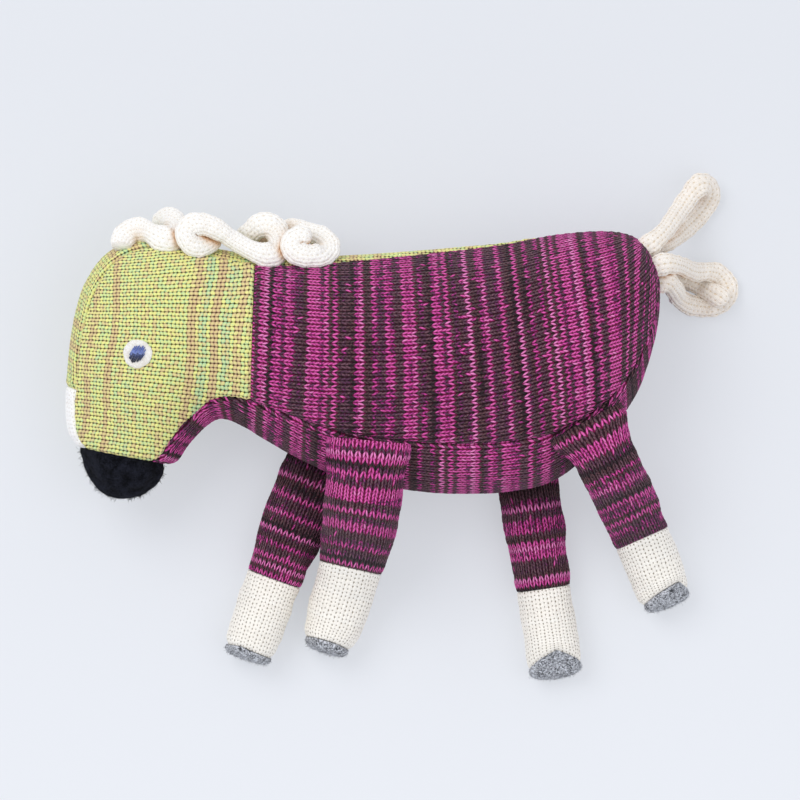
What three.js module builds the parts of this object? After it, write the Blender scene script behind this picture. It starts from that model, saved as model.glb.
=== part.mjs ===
// A machine-knit stuffed horse lying on its right side. Millimetres, +Z up: the head points to -X, the back
// to +Y and the toy's left side up. The middle plane, where nose, back and belly seams lie, is level.
// The body and head are one stuffed bag sewn from panels; the four legs hang on the side seams.
import * as THREE from 'three';

// Driving sizes of the bag
const torsoLength = 181;      // neck seam to the tail end of the rump
const torsoDepth = 109.4;     // back to belly
const torsoThickness = 73;    // left side to right side
const headReach = 85.5;       // neck seam to forehead
const headHeight = 117.7;     // poll to muzzle tip
const headThickness = 64;     // cheek to cheek
const knit = 1.6;             // thickness of the knitted panels
const felt = 2.2;             // thickness of the muzzle's felted wool
const seamGap = 0.3;          // clearance between pieces that are sewn together
const restFlat = 0.5;         // how deep the stuffed forms are pressed flat where they rest
const fillSlack = 0.9;        // least room between the stuffing and the knit round it

// Eyes
const eyeWidth = 12.8;
const eyeFelt = 1.2;
const pupilWidth = 6.8;
const pupilHeight = 7.4;
const pupilStitch = 0.9;

// Legs: sizes along and across the leg
const legLength = 108;        // sewn top edge to sole of the longest leg
const legWidth = 37;          // sewn top edge of the widest sleeve
const legKnit = 1.4;          // thickness of sleeve and sock
const legRound = 26;          // thickness of a stuffed leg
const hemThickness = 3.6;     // sewn top edge of a sleeve, pressed flat
const soleFelt = 2;
const soleCrown = 1.2;        // how far the sole swells
const seamLift = 0.6;         // from the panel at the side seam to the sleeve's sewn edge

// Cords of the mane and the tail
const maneCord = 6.8;
const tailCord = 7.2;

const rad = THREE.MathUtils.degToRad;
const halvings = 30;            // how often a search halves its span
const middlePlane = torsoThickness / 2 - restFlat;

// Side view of the bag, one row for each station from muzzle to tail. Columns: where the top line is and
// where the bottom line is, along and up, then half thickness, all as shares of the sizes above, then the
// angle of the side seam and of the top gusset's seam round the section from the top line, in degrees.
const headStationShares = [
  [0.722, -0.489, 0.700, -0.489, 0.07, 136, 33],
  [0.805, -0.467, 0.611, -0.478, 0.29, 136, 33],
  [0.863, -0.426, 0.542, -0.445, 0.46, 136, 33],
  [0.903, -0.365, 0.497, -0.403, 0.57, 136, 33],
  [0.932, -0.293, 0.479, -0.358, 0.64, 136, 33],
  [0.984, -0.235, 0.416, -0.342, 0.71, 136, 32],
  [1.000, -0.147, 0.366, -0.293, 0.80, 138, 31],
  [0.995, -0.052, 0.332, -0.262, 0.89, 140, 31],
  [0.984, 0.075, 0.300, -0.237, 0.97, 142, 31],
  [0.953, 0.208, 0.274, -0.218, 1.00, 145, 31],
  [0.895, 0.338, 0.253, -0.205, 1.00, 147, 31],
  [0.789, 0.446, 0.232, -0.193, 0.99, 147, 28],
  [0.621, 0.507, 0.208, -0.184, 0.99, 145, 26],
  [0.426, 0.495, 0.179, -0.180, 1.01, 142, 25],
  [0.216, 0.467, 0.121, -0.191, 1.04, 137, 24],
];
const torsoStationShares = [
  [0.000, 0.473, -0.015, -0.241, 0.94, 133, 23],
  [0.109, 0.461, 0.090, -0.344, 0.98, 128, 20.5],
  [0.221, 0.473, 0.204, -0.430, 1.00, 127, 18],
  [0.346, 0.486, 0.338, -0.479, 1.00, 127, 15],
  [0.483, 0.504, 0.483, -0.502, 1.00, 127, 11.5],
  [0.619, 0.525, 0.619, -0.494, 1.00, 127, 7],
  [0.736, 0.556, 0.731, -0.455, 0.985, 128, 0],
  [0.826, 0.570, 0.836, -0.331, 0.95, 130, 0],
  [0.886, 0.570, 0.915, -0.175, 0.88, 133, 0],
  [0.925, 0.558, 0.968, 0.006, 0.78, 134, 0],
  [0.950, 0.537, 0.998, 0.195, 0.64, 135, 0],
  [0.964, 0.514, 1.002, 0.360, 0.42, 136, 0],
  [0.970, 0.496, 0.983, 0.457, 0.17, 137, 0],
];

// Stations where pieces meet, counted along the rows above
const noseStation = 0.15;
const muzzleStation = 4;
const blazeStation = 6.95;
const neckStation = headStationShares.length;
const gussetEndStation = neckStation + 5.7;
const tailStation = neckStation + torsoStationShares.length - 1;

const topLine = [];
const bottomLine = [];
const seamLine = [];
for (const [topX, topY, bottomX, bottomY, side, seam, strip] of headStationShares) {
  topLine.push(new THREE.Vector3(-topX * headReach, topY * headHeight, side * headThickness / 2));
  bottomLine.push(new THREE.Vector3(-bottomX * headReach, bottomY * headHeight, 0));
  seamLine.push(new THREE.Vector3(rad(seam), rad(strip), 0));
}
for (const [topX, topY, bottomX, bottomY, side, seam, strip] of torsoStationShares) {
  topLine.push(new THREE.Vector3(topX * torsoLength, topY * torsoDepth, side * torsoThickness / 2));
  bottomLine.push(new THREE.Vector3(bottomX * torsoLength, bottomY * torsoDepth, 0));
  seamLine.push(new THREE.Vector3(rad(seam), rad(strip), 0));
}
const smooth = (points) => new THREE.CatmullRomCurve3(points, false, 'catmullrom');
const topCurve = smooth(topLine);
const bottomCurve = smooth(bottomLine);
const seamCurve = smooth(seamLine);

const sideSeam = (station) => seamCurve.getPoint(station / tailStation).x;
const gussetSeam = (station) => Math.max(seamCurve.getPoint(station / tailStation).y, 0);

// The bag's section at a station: an oval between top line and bottom line, its middle on the middle plane.
function section(station) {
  const top = topCurve.getPoint(station / tailStation);
  const bottom = bottomCurve.getPoint(station / tailStation);
  const middle = new THREE.Vector3((top.x + bottom.x) / 2, (top.y + bottom.y) / 2, middlePlane);
  const up = new THREE.Vector3((top.x - bottom.x) / 2, (top.y - bottom.y) / 2, 0);
  return { middle, up, side: top.z };
}

function ovalPoint(station, angle) {
  const { middle, up, side } = section(station);
  const point = middle.addScaledVector(up, Math.cos(angle));
  point.z += side * Math.sin(angle);
  return point;
}

function skinNormal(station, angle) {
  const step = 0.02;
  const along = ovalPoint(station + step, angle).sub(ovalPoint(station - step, angle));
  const round = ovalPoint(station, angle + step).sub(ovalPoint(station, angle - step));
  return round.cross(along).normalize();
}

// A point of the bag's skin, or at a depth inside it. Nothing reaches below the resting plane.
function skin(station, angle, depth = 0) {
  const point = ovalPoint(station, angle).addScaledVector(skinNormal(station, angle), -depth);
  point.z = Math.max(point.z, 0);
  return point;
}

// Turns points and triangles into a geometry whose faces point out.
function solidGeometry(points, triangles) {
  let volume = 0;
  for (const [a, b, c] of triangles) {
    volume += points[a].dot(points[b].clone().cross(points[c]));
  }
  const positions = points.flatMap((point) => point.toArray());
  const index = triangles.flatMap(([a, b, c]) => (volume > 0 ? [a, b, c] : [a, c, b]));
  const geometry = new THREE.BufferGeometry();
  geometry.setAttribute('position', new THREE.Float32BufferAttribute(positions, 3));
  geometry.setIndex(index);
  geometry.computeVertexNormals();
  return geometry;
}

// A closed body through rings of points, each with as many points as the next. Its ends are closed by fans,
// or, for the wall of an open tube, the last ring joins the first.
function ringSolid(rings, { looped = false } = {}) {
  const sides = rings[0].length;
  const points = rings.flat();
  const triangles = [];
  const links = looped ? rings.length : rings.length - 1;
  for (let row = 0; row < links; row++) {
    const here = row * sides;
    const next = ((row + 1) % rings.length) * sides;
    for (let i = 0; i < sides; i++) {
      const j = (i + 1) % sides;
      triangles.push([here + i, here + j, next + j], [here + i, next + j, next + i]);
    }
  }
  if (!looped) {
    for (const [row, flip] of [[0, true], [rings.length - 1, false]]) {
      const centre = new THREE.Vector3();
      rings[row].forEach((point) => centre.addScaledVector(point, 1 / sides));
      const tip = points.push(centre) - 1;
      for (let i = 0; i < sides; i++) {
        const a = row * sides + i;
        const b = row * sides + (i + 1) % sides;
        triangles.push(flip ? [tip, b, a] : [tip, a, b]);
      }
    }
  }
  return solidGeometry(points, triangles);
}

// A panel of even thickness: its outer and inner face are grids of rows and columns, joined round the edge.
function panelSolid(rows, columns, facePoint, thickness) {
  const points = [];
  const at = (face, row, column) => (face * (rows + 1) + row) * (columns + 1) + column;
  for (const depth of [0, thickness]) {
    for (let row = 0; row <= rows; row++) {
      for (let column = 0; column <= columns; column++) {
        points.push(facePoint(row / rows, column / columns, depth));
      }
    }
  }
  const triangles = [];
  const quad = (a, b, c, d) => triangles.push([a, b, c], [a, c, d]);
  for (let row = 0; row < rows; row++) {
    for (let column = 0; column < columns; column++) {
      const [r, c] = [row + 1, column + 1];
      quad(at(0, row, column), at(0, row, c), at(0, r, c), at(0, r, column));
      quad(at(1, row, column), at(1, r, column), at(1, r, c), at(1, row, c));
    }
  }
  for (let row = 0; row < rows; row++) {
    quad(at(0, row, 0), at(0, row + 1, 0), at(1, row + 1, 0), at(1, row, 0));
    quad(at(0, row, columns), at(1, row, columns), at(1, row + 1, columns), at(0, row + 1, columns));
  }
  for (let column = 0; column < columns; column++) {
    quad(at(0, 0, column), at(1, 0, column), at(1, 0, column + 1), at(0, 0, column + 1));
    quad(at(0, rows, column), at(0, rows, column + 1), at(1, rows, column + 1), at(1, rows, column));
  }
  return solidGeometry(points, triangles);
}

// How much the angle, or the station, changes over half a seam's gap at a place on the skin.
function halfGapAngle(station, angle) {
  const step = 0.02;
  const reach = ovalPoint(station, angle + step).distanceTo(ovalPoint(station, angle - step));
  return seamGap / 2 * 2 * step / reach;
}
function halfGapStation(station, angle) {
  const step = 0.02;
  const reach = ovalPoint(station + step, angle).distanceTo(ovalPoint(station - step, angle));
  return seamGap / 2 * 2 * step / reach;
}

// The angle at a share of a panel's width, even between its seams and the bands that it has to pass through.
function bandAngle(share, low, high, bands) {
  const marks = [[0, low], ...bands, [1, high]];
  const next = Math.max(marks.findIndex(([mark]) => share <= mark), 1);
  const [[fromShare, from], [toShare, to]] = [marks[next - 1], marks[next]];
  return from + (to - from) * (share - fromShare) / (toShare - fromShare);
}

// A panel of the bag between two stations and two seams, with half a seam's gap left on each edge.
function bagPanel({ from, to, low, high, rows, columns, bands = [], thickness = knit }) {
  const place = (along, across, depth) => {
    const station = THREE.MathUtils.lerp(from, to, along);
    const [a, b] = [low(station), high(station)];
    const [first, last] = [a + halfGapAngle(station, a), b - halfGapAngle(station, b)];
    const angle = bandAngle(across, first, last, bands);
    const inset = halfGapStation(station, angle) * (1 - 2 * along);
    const ends = along === 0 || along === 1 ? inset : 0;
    return skin(station + ends, angle, depth);
  };
  return panelSolid(rows, columns, place, thickness);
}

// A ring of points round the bag at one station and depth.
function bagRing(station, sides, depth) {
  return Array.from({ length: sides }, (_, i) => skin(station, i / sides * 2 * Math.PI, depth));
}

const steps = (from, to, count) => Array.from({ length: count + 1 }, (_, i) => from + (to - from) * i / count);

// Materials
const knitStripe = new THREE.MeshStandardMaterial({ color: '#763d5d', roughness: 0.95, metalness: 0 });
const knitLime = new THREE.MeshStandardMaterial({ color: '#c2c68e', roughness: 0.95, metalness: 0 });
const knitCream = new THREE.MeshStandardMaterial({ color: '#ede9e3', roughness: 0.95, metalness: 0 });
const cordCream = new THREE.MeshStandardMaterial({ color: '#efe7dc', roughness: 0.95, metalness: 0 });
const feltBlack = new THREE.MeshStandardMaterial({ color: '#17181f', roughness: 1, metalness: 0 });
const feltGrey = new THREE.MeshStandardMaterial({ color: '#8a8d93', roughness: 1, metalness: 0 });
const feltWhite = new THREE.MeshStandardMaterial({ color: '#e8e1d2', roughness: 1, metalness: 0 });
const threadBlue = new THREE.MeshStandardMaterial({ color: '#5e6b8e', roughness: 0.6, metalness: 0 });
const fibreWhite = new THREE.MeshStandardMaterial({ color: '#f4f4f2', roughness: 1, metalness: 0 });

const horse = new THREE.Group();
function addPiece(name, geometry, material) {
  const piece = new THREE.Mesh(geometry, material);
  piece.name = name;
  horse.add(piece);
  return piece;
}

// Body and head panels
const onRight = (seam) => (station) => -seam(station);
const bodySpan = { from: neckStation, to: tailStation, rows: 20, columns: 8 };
const headSpan = { from: muzzleStation, to: neckStation, rows: 18, columns: 8 };
// A band along each side panel, from these angles to those, is pressed flat where the toy rests on it.
const [flatLow, flatHigh] = [rad(83), rad(97)];
const leftBands = [[1 / 2, flatLow], [5 / 8, flatHigh]];
const rightBands = [[3 / 8, -flatHigh], [1 / 2, -flatLow]];
const left = { low: gussetSeam, high: sideSeam, bands: leftBands };
const right = { low: onRight(sideSeam), high: onRight(gussetSeam), bands: rightBands };
addPiece('body_left_panel', bagPanel({ ...bodySpan, ...left }), knitStripe);
addPiece('body_right_panel', bagPanel({ ...bodySpan, ...right }), knitStripe);
addPiece('head_left_panel', bagPanel({ ...headSpan, ...left }), knitLime);
addPiece('head_right_panel', bagPanel({ ...headSpan, ...right }), knitLime);
const belly = { low: sideSeam, high: (station) => 2 * Math.PI - sideSeam(station) };
addPiece('belly_gusset', bagPanel({
  from: muzzleStation, to: tailStation, ...belly, rows: 38, columns: 8,
}), knitStripe);
const strip = { low: onRight(gussetSeam), high: gussetSeam, columns: 4 };
addPiece('top_gusset', bagPanel({ from: blazeStation, to: gussetEndStation, ...strip, rows: 28 }), knitLime);
addPiece('blaze', bagPanel({ from: muzzleStation, to: blazeStation, ...strip, rows: 5 }), knitCream);

// Muzzle: a felted cup whose rim meets the panels
const muzzleSides = 28;
const muzzleRim = muzzleStation - halfGapStation(muzzleStation, 0);
const muzzleOut = steps(noseStation, muzzleRim, 6).map((at) => bagRing(at, muzzleSides, 0));
const muzzleIn = steps(muzzleRim, 2 * noseStation, 5).map((at) => bagRing(at, muzzleSides, felt));
addPiece('muzzle_cap', ringSolid([...muzzleOut, ...muzzleIn]), feltBlack);

// Stuffing, packed in two masses that meet at the neck seam
const fillDepth = Math.max(knit, felt) + fillSlack;
const fillStation = 1.5;        // where the head's stuffing starts, behind the muzzle's tip
const fillSides = 16;
const neckGap = halfGapStation(neckStation, 0);
const headFill = steps(fillStation, neckStation - neckGap, 16).map((at) => bagRing(at, fillSides, fillDepth));
const bodyFill = steps(neckStation + neckGap, tailStation - 1, 12)
  .map((at) => bagRing(at, fillSides, fillDepth));
addPiece('head_stuffing', ringSolid(headFill), fibreWhite);
addPiece('body_stuffing', ringSolid(bodyFill), fibreWhite);

// Eyes: a felt disc laid on each cheek, with an oval of satin stitch on it
const eyeReachShare = -0.612;
const eyeHeightShare = 0.064;

// The station and angle of the left side's skin that lie over a point of the side view
function overPoint(x, y) {
  const offRuling = (station) => {
    const { middle, up } = section(station);
    return (x - middle.x) * up.y - (y - middle.y) * up.x;
  };
  let [low, high] = [muzzleStation, neckStation];
  for (let turn = 0; turn < halvings; turn++) {
    const half = (low + high) / 2;
    if (offRuling(half) * offRuling(low) > 0) low = half;
    else high = half;
  }
  const { middle, up } = section(low);
  const height = ((x - middle.x) * up.x + (y - middle.y) * up.y) / up.lengthSq();
  return [low, Math.acos(height)];
}

// Rings of a disc from its back to its rounded front: share of its width, share of its thickness
const discShares = [[0.45, 0], [1, 0], [1, 0.6], [0.9, 1], [0.45, 1]];

// A disc that follows the cheek, its back at a height over the skin
function cheekDisc(width, height, base, thickness, onLeft) {
  const sides = 20;
  const [centreX, centreY] = [eyeReachShare * headReach, eyeHeightShare * headHeight];
  const ring = (share, lift) => Array.from({ length: sides }, (_, i) => {
    const turn = i / sides * 2 * Math.PI;
    const x = centreX + share * width / 2 * Math.cos(turn);
    const y = centreY + share * height / 2 * Math.sin(turn);
    const [station, angle] = overPoint(x, y);
    return skin(station, onLeft ? angle : -angle, -lift);
  });
  return ringSolid(discShares.map(([reach, lift]) => ring(reach, base + lift * thickness)));
}
for (const [side, onLeft] of [['left', true], ['right', false]]) {
  const disc = cheekDisc(eyeWidth, eyeWidth, seamGap, eyeFelt, onLeft);
  const stitch = cheekDisc(pupilWidth, pupilHeight, 2 * seamGap + eyeFelt, pupilStitch, onLeft);
  addPiece(`${side}_eye_felt`, disc, feltWhite);
  addPiece(`${side}_eye_pupil`, stitch, threadBlue);
}

// Legs. Each is a knitted sleeve whose flat top edge is sewn into a side seam, a sock knitted on to it and a
// felt sole. The left legs lie over the belly and come down to rest on their feet; the right legs lie flat.
// Columns: where the top edge's middle lies on the seam, in stations behind the neck; degrees that the leg
// leans towards the tail and that the sole turns up; share of the length where the sleeve meets the sock; length
// as a share of legLength; then widths at top edge, knee, sock and sole and the bow towards the tail, as shares
// of legWidth.
const legShares = [
  ['front_left', 2.58, -11.8, 4, 0.605, 0.89, 1, 0.93, 0.745, 0.54, 0.095],
  ['front_right', 1.9, -21.3, 6, 0.66, 1, 0.95, 0.84, 0.665, 0.59, -0.045],
  ['hind_left', 6.75, 25, 7, 0.655, 0.836, 0.97, 0.735, 0.68, 0.58, 0.05],
  ['hind_right', 5.35, 8.5, 22, 0.64, 0.967, 0.84, 0.73, 0.645, 0.665, 0],
];
const legs = legShares.map(([name, station, lean, tilt, sleeve, length, ...widths]) => {
  const [top, knee, sock, sole, bow] = widths.map((share) => share * legWidth);
  const left = name.endsWith('left');
  return {
    name, left, lean, tilt, sleeve, top, knee, sock, sole, bow,
    station: neckStation + station,
    length: length * legLength,
  };
});
const hollowShare = 0.09;       // of the leg's length, where the hollow inside the sleeve starts
const hemReachShare = 0.2;      // how far the flat sewn edge is felt down the leg
const footStartShare = 0.75;    // from here the foot turns up
const pinchShare = 0.1;         // least half thickness left inside the sewn edge, of its thickness
const soleRimShare = 0.6;       // of the sole's width that its crown takes

// Share of the leg's length, then its shape there: width from sock width (0) to knee width (1), roundness, and
// how much of its height above the floor a left leg has lost
const legShapeShares = [
  [0.00, 1.00, 0.00, 0.00], [0.04, 0.97, 0.10, 0.00], [0.10, 0.95, 0.27, 0.015], [0.20, 1.00, 0.66, 0.07],
  [0.30, 0.97, 0.96, 0.19], [0.40, 0.80, 1.00, 0.37], [0.50, 0.50, 1.00, 0.57], [0.60, 0.12, 0.98, 0.755],
  [0.70, 0.00, 1.02, 0.89], [0.80, 0.00, 1.02, 0.965], [0.90, 0.00, 1.00, 1.00], [1.00, 0.00, 0.90, 1.00],
];
const legShape = smooth(legShapeShares.map(([, ...shape]) => new THREE.Vector3(...shape)));
const legAlong = smooth(legShapeShares.map(([along]) => new THREE.Vector3(along, 0, 0)));

// What the leg's shape is at a share of its length
function shapeAt(share) {
  let [low, high] = [0, 1];
  for (let turn = 0; turn < halvings; turn++) {
    const half = (low + high) / 2;
    if (legAlong.getPoint(half).x < share) low = half;
    else high = half;
  }
  return legShape.getPoint(low);
}

function seamPlace(leg, station = leg.station) {
  const angle = leg.left ? sideSeam(station) : -sideSeam(station);
  return { point: skin(station, angle), normal: skinNormal(station, angle) };
}

// The line on which a leg hinges: along the seam, just above the panels
function hingeLine(leg) {
  const step = 0.5;
  const direction = seamPlace(leg, leg.station + step).point.sub(seamPlace(leg, leg.station - step).point);
  const { point, normal } = seamPlace(leg);
  return {
    origin: point.addScaledVector(normal, seamLift + hemThickness / 2),
    direction: direction.normalize(),
  };
}

function legFrame(leg, share) {
  const { origin, direction } = hingeLine(leg);
  const heading = new THREE.Vector3(Math.sin(rad(leg.lean)), -Math.cos(rad(leg.lean)), 0);
  const across = new THREE.Vector3(-heading.y, heading.x, 0);
  const place = (at) => {
    const { x: width, y: round, z: drop } = shapeAt(at);
    const toe = (Math.max(at - leg.sleeve, 0) / (1 - leg.sleeve)) ** 4;
    const halfWidth = (leg.sock + (leg.knee - leg.sock) * width + (leg.sole - leg.sock) * toe) / 2;
    const halfRound = (hemThickness + (legRound - hemThickness) * round) / 2;
    const hem = Math.max(1 - at / hemReachShare, 0) ** 2;
    const footHeight = legRound / 2 - restFlat;
    const centre = origin.clone().addScaledVector(heading, at * leg.length)
      .addScaledVector(across, leg.bow * Math.sin(Math.PI * at));
    if (leg.left) centre.z = origin.z + (footHeight - origin.z) * drop;
    else centre.z = halfRound - restFlat + (origin.z - hemThickness / 2 + restFlat) * hem;
    const widthHere = halfWidth + (leg.top / 2 - halfWidth) * Math.min(hem * 2, 1);
    return { centre, halfWidth: widthHere, halfRound, hem };
  };
  const here = place(share);
  const step = 0.01;
  const [before, after] = [Math.max(share - step, 0), Math.min(share + step, 1)];
  const along = place(after).centre.sub(place(before).centre).normalize();
  const wide = across.clone().lerp(direction, here.hem);
  wide.addScaledVector(along, -wide.dot(along)).normalize();
  const up = wide.clone().cross(along).normalize();
  if (up.z < 0) up.negate();
  const lean = rad(leg.tilt) * THREE.MathUtils.smoothstep(share, footStartShare, 1);
  const upTilted = up.clone().multiplyScalar(Math.cos(lean)).addScaledVector(along, -Math.sin(lean));
  return { ...here, along, wide, up: upTilted };
}

const legSides = 14;
function legRing(leg, share, depth, shrink = 1, push = 0) {
  const { centre, halfWidth, halfRound, along, wide, up } = legFrame(leg, share);
  return Array.from({ length: legSides }, (_, i) => {
    const turn = i / legSides * 2 * Math.PI;
    const point = centre.clone().addScaledVector(along, push)
      .addScaledVector(wide, shrink * (halfWidth - depth) * Math.cos(turn))
      .addScaledVector(up, shrink * Math.max(halfRound - depth, pinchShare * hemThickness) * Math.sin(turn));
    point.z = Math.max(point.z, depth > 0 ? depth - restFlat : 0);
    return point;
  });
}

for (const leg of legs) {
  const { name, length } = leg;
  const gap = seamGap / 2 / length;
  const soleShare = 1 - soleFelt / length;
  const ringsAt = (from, to, count, depth) => steps(from, to, count).map((at) => legRing(leg, at, depth));
  const sleeveOut = ringsAt(0, leg.sleeve - gap, 9, 0);
  const sleeveIn = ringsAt(leg.sleeve - gap, hollowShare, 6, legKnit);
  addPiece(`${name}_sleeve`, ringSolid([...sleeveOut, ...sleeveIn]), knitStripe);
  const sockOut = ringsAt(leg.sleeve + gap, soleShare - gap, 6, 0);
  const sockIn = ringsAt(soleShare - gap, leg.sleeve + gap, 5, legKnit);
  addPiece(`${name}_sock`, ringSolid([...sockOut, ...sockIn], { looped: true }), knitCream);
  addPiece(`${name}_sole`, ringSolid([
    legRing(leg, soleShare + gap, 0), legRing(leg, 1, 0), legRing(leg, 1, 0, soleRimShare, soleCrown),
  ]), feltGrey);
  const fill = ringsAt(hollowShare + 2 * legKnit / length, soleShare - gap, 9, legKnit + fillSlack);
  addPiece(`${name}_stuffing`, ringSolid(fill), fibreWhite);
}

// A cord: a tube of even width through rings square to its path
function cordSolid(path, width, count, sides) {
  const curve = smooth(path);
  const rings = [];
  let across = new THREE.Vector3(0, 0, 1);
  for (const at of steps(0, 1, count)) {
    const centre = curve.getPointAt(at);
    const along = curve.getTangentAt(at);
    across.addScaledVector(along, -across.dot(along)).normalize();
    const up = along.clone().cross(across);
    rings.push(Array.from({ length: sides }, (_, i) => {
      const turn = i / sides * 2 * Math.PI;
      return centre.clone().addScaledVector(across, width / 2 * Math.cos(turn))
        .addScaledVector(up, width / 2 * Math.sin(turn));
    }));
  }
  return ringSolid(rings);
}

// Least gap of a cord to itself, measured between points of its path that lie apart along it
function leastGap(path, width) {
  const curve = smooth(path);
  const count = 500;
  const points = curve.getSpacedPoints(count);
  const apart = Math.ceil(2.2 * width / (curve.getLength() / count));
  let least = Infinity;
  for (let i = 0; i < points.length; i++) {
    for (let j = i + apart; j < points.length; j++) least = Math.min(least, points[i].distanceTo(points[j]));
  }
  return least - width;
}

// Mane: one knitted cord, laid in bunched loops along the crest. Its route is in cord widths from the crest at
// the neck seam: along the back, up from it and towards the toy's left side.
const maneRoute = [
  [-9.15, 0.75, 1.9], [-9.05, 1.35, 1.5], [-8.5, 1.9, 1.2], [-7.85, 2.05, 1.1], [-7.3, 1.85, 1.35],
  [-6.9, 1.5, 1.8], [-6.4, 1.2, 2.25], [-5.85, 1.0, 2.4], [-5.4, 1.1, 2.1], [-5.15, 1.5, 1.55],
  [-5.15, 2.0, 0.9], [-5.5, 2.4, 0.2], [-6.0, 2.4, -0.5], [-6.2, 2.0, -1.05], [-5.8, 1.65, -1.4],
  [-5.05, 1.6, -1.4], [-4.35, 1.75, -1.0], [-3.7, 1.9, -0.5], [-3.15, 1.75, 0.1], [-2.9, 1.35, 0.75],
  [-3.0, 0.95, 1.5], [-3.5, 0.7, 2.2], [-4.1, 0.75, 2.55], [-4.5, 1.15, 2.7], [-4.5, 1.65, 2.7],
  [-4.1, 2.0, 2.65], [-3.5, 2.05, 2.55], [-2.75, 1.85, 2.45], [-2.05, 1.4, 2.3], [-1.3, 0.9, 2.2],
  [-0.5, 0.45, 2.25],
  [0.3, 0.1, 2.35], [1.0, 0.0, 2.3], [1.45, 0.3, 1.9], [1.6, 0.85, 1.4], [1.45, 1.5, 1.0],
  [0.95, 2.0, 0.9], [0.3, 2.0, 0.8], [-0.25, 1.6, 0.5], [-0.6, 1.15, 0.0], [-0.35, 0.8, -0.55],
  [0.3, 0.85, -0.75], [1.0, 1.15, -0.75], [1.75, 1.6, -0.6], [2.6, 1.8, -0.3], [3.4, 1.6, 0.0],
  [4.2, 1.3, 0.3], [4.75, 0.75, 0.9], [4.75, 0.25, 1.6], [4.25, 0.0, 2.15], [3.55, -0.05, 2.4],
  [2.85, 0.1, 2.5], [2.4, 0.55, 2.45], [2.55, 1.05, 2.3], [3.1, 1.2, 2.15], [3.65, 1.0, 2.05],
];
const crest = ovalPoint(neckStation, 0);
const manePath = maneRoute.map((place) => new THREE.Vector3(...place).multiplyScalar(maneCord).add(crest));
console.log(`mane: least gap to itself ${leastGap(manePath, maneCord).toFixed(2)} mm`);
addPiece('mane_cord', cordSolid(manePath, maneCord, 168, 6), cordCream);

// Tail: knitted cord sewn to the end of the rump. A long loop, a shorter loop below it and one cut end, which
// all sink from the rump to the surface that the toy lies on. Each leaves the skin square to it, at a station
// and an angle. The routes between are in cord widths from the end of the back seam: along, up and towards
// the toy's left side.
const tailCords = [
  { name: 'tail_long_loop', from: [tailStation - 0.8, 18], to: [tailStation - 0.5, -30], steps: 26,
    route: [[1.1, 1.15, -0.3], [1.65, 1.9, -1.5], [2.15, 2.6, -2.7], [2.65, 3.25, -3.4], [3.15, 3.9, -3.55],
      [3.55, 4.3, -3.75], [4.0, 4.3, -4.15], [4.3, 3.9, -4.42], [4.2, 3.4, -4.45], [3.8, 2.85, -4.45],
      [3.3, 2.2, -4.4], [2.7, 1.6, -4.0], [2.1, 1.05, -3.2], [1.5, 0.65, -2.2], [0.95, 0.4, -1.3]] },
  { name: 'tail_short_loop', from: [tailStation - 0.5, 135], to: [tailStation - 1.2, 165], steps: 32,
    route: [[1.5, -0.85, 0.7], [2.1, -0.95, -0.4], [2.65, -1.15, -1.7], [3.2, -1.3, -2.8], [3.85, -1.28, -3.5],
      [4.5, -1.38, -4.15], [5.0, -1.8, -4.42], [5.25, -2.4, -4.45], [5.05, -3.0, -4.45], [4.5, -3.4, -4.45],
      [3.7, -3.5, -4.45], [2.9, -3.5, -4.3], [2.2, -3.35, -3.6], [1.8, -3.05, -2.5], [1.65, -2.75, -1.3],
      [1.6, -2.5, -0.2]] },
  { name: 'tail_cut_end', from: [tailStation - 0.6, -150], steps: 16,
    route: [[1.3, -1.35, -1.9], [1.5, -1.45, -2.9], [1.85, -1.55, -3.8], [2.4, -1.7, -4.35],
      [3.0, -1.85, -4.45], [3.6, -2.15, -4.4], [4.1, -2.5, -3.9], [4.6, -2.8, -3.38], [5.0, -3.1, -3.3],
      [5.2, -3.25, -3.3]] },
];
const rumpEnd = ovalPoint(tailStation, 0);
const cordSection = new THREE.Shape().absarc(0, 0, tailCord / 2, 0, 2 * Math.PI);
// Two places on the way off the skin, from its surface outwards
function offSkin([station, degrees]) {
  const [point, normal] = [skin(station, rad(degrees)), skinNormal(station, rad(degrees))];
  return [seamGap, tailCord / 2].map((lift) => point.clone().addScaledVector(normal, lift));
}
for (const { name, from, to, route, steps: count } of tailCords) {
  const free = route.map((place) => new THREE.Vector3(...place).multiplyScalar(tailCord).add(rumpEnd));
  const path = [...offSkin(from), ...free, ...(to ? offSkin(to).reverse() : [])];
  console.log(`${name}: ${smooth(path).getLength().toFixed(0)} mm long, `
    + `least gap to itself ${leastGap(path, tailCord).toFixed(2)} mm`);
  const tube = { steps: count, curveSegments: 8, bevelEnabled: false, extrudePath: smooth(path) };
  addPiece(name, new THREE.ExtrudeGeometry(cordSection, tube), cordCream);
}

// The origin lies on the resting plane, under the middle of the toy without its loose tail cords.
const outline = new THREE.Box3();
horse.children.filter(({ name }) => !name.startsWith('tail_'))
  .forEach((piece) => outline.expandByObject(piece));
const middle = outline.getCenter(new THREE.Vector3());
horse.children.forEach((piece) => piece.position.set(-middle.x, -middle.y, 0));
for (const leg of legs) {
  const { origin, direction } = hingeLine(leg);
  const [x, y, z] = origin.setX(origin.x - middle.x).setY(origin.y - middle.y).toArray();
  const at = [x, y, z].map((length) => length.toFixed(2)).join(' ');
  const along = direction.toArray().map((share) => share.toFixed(4)).join(' ');
  console.log(`${leg.name}: hinge at ${at}, along ${along}`);
}

export default horse;
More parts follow.
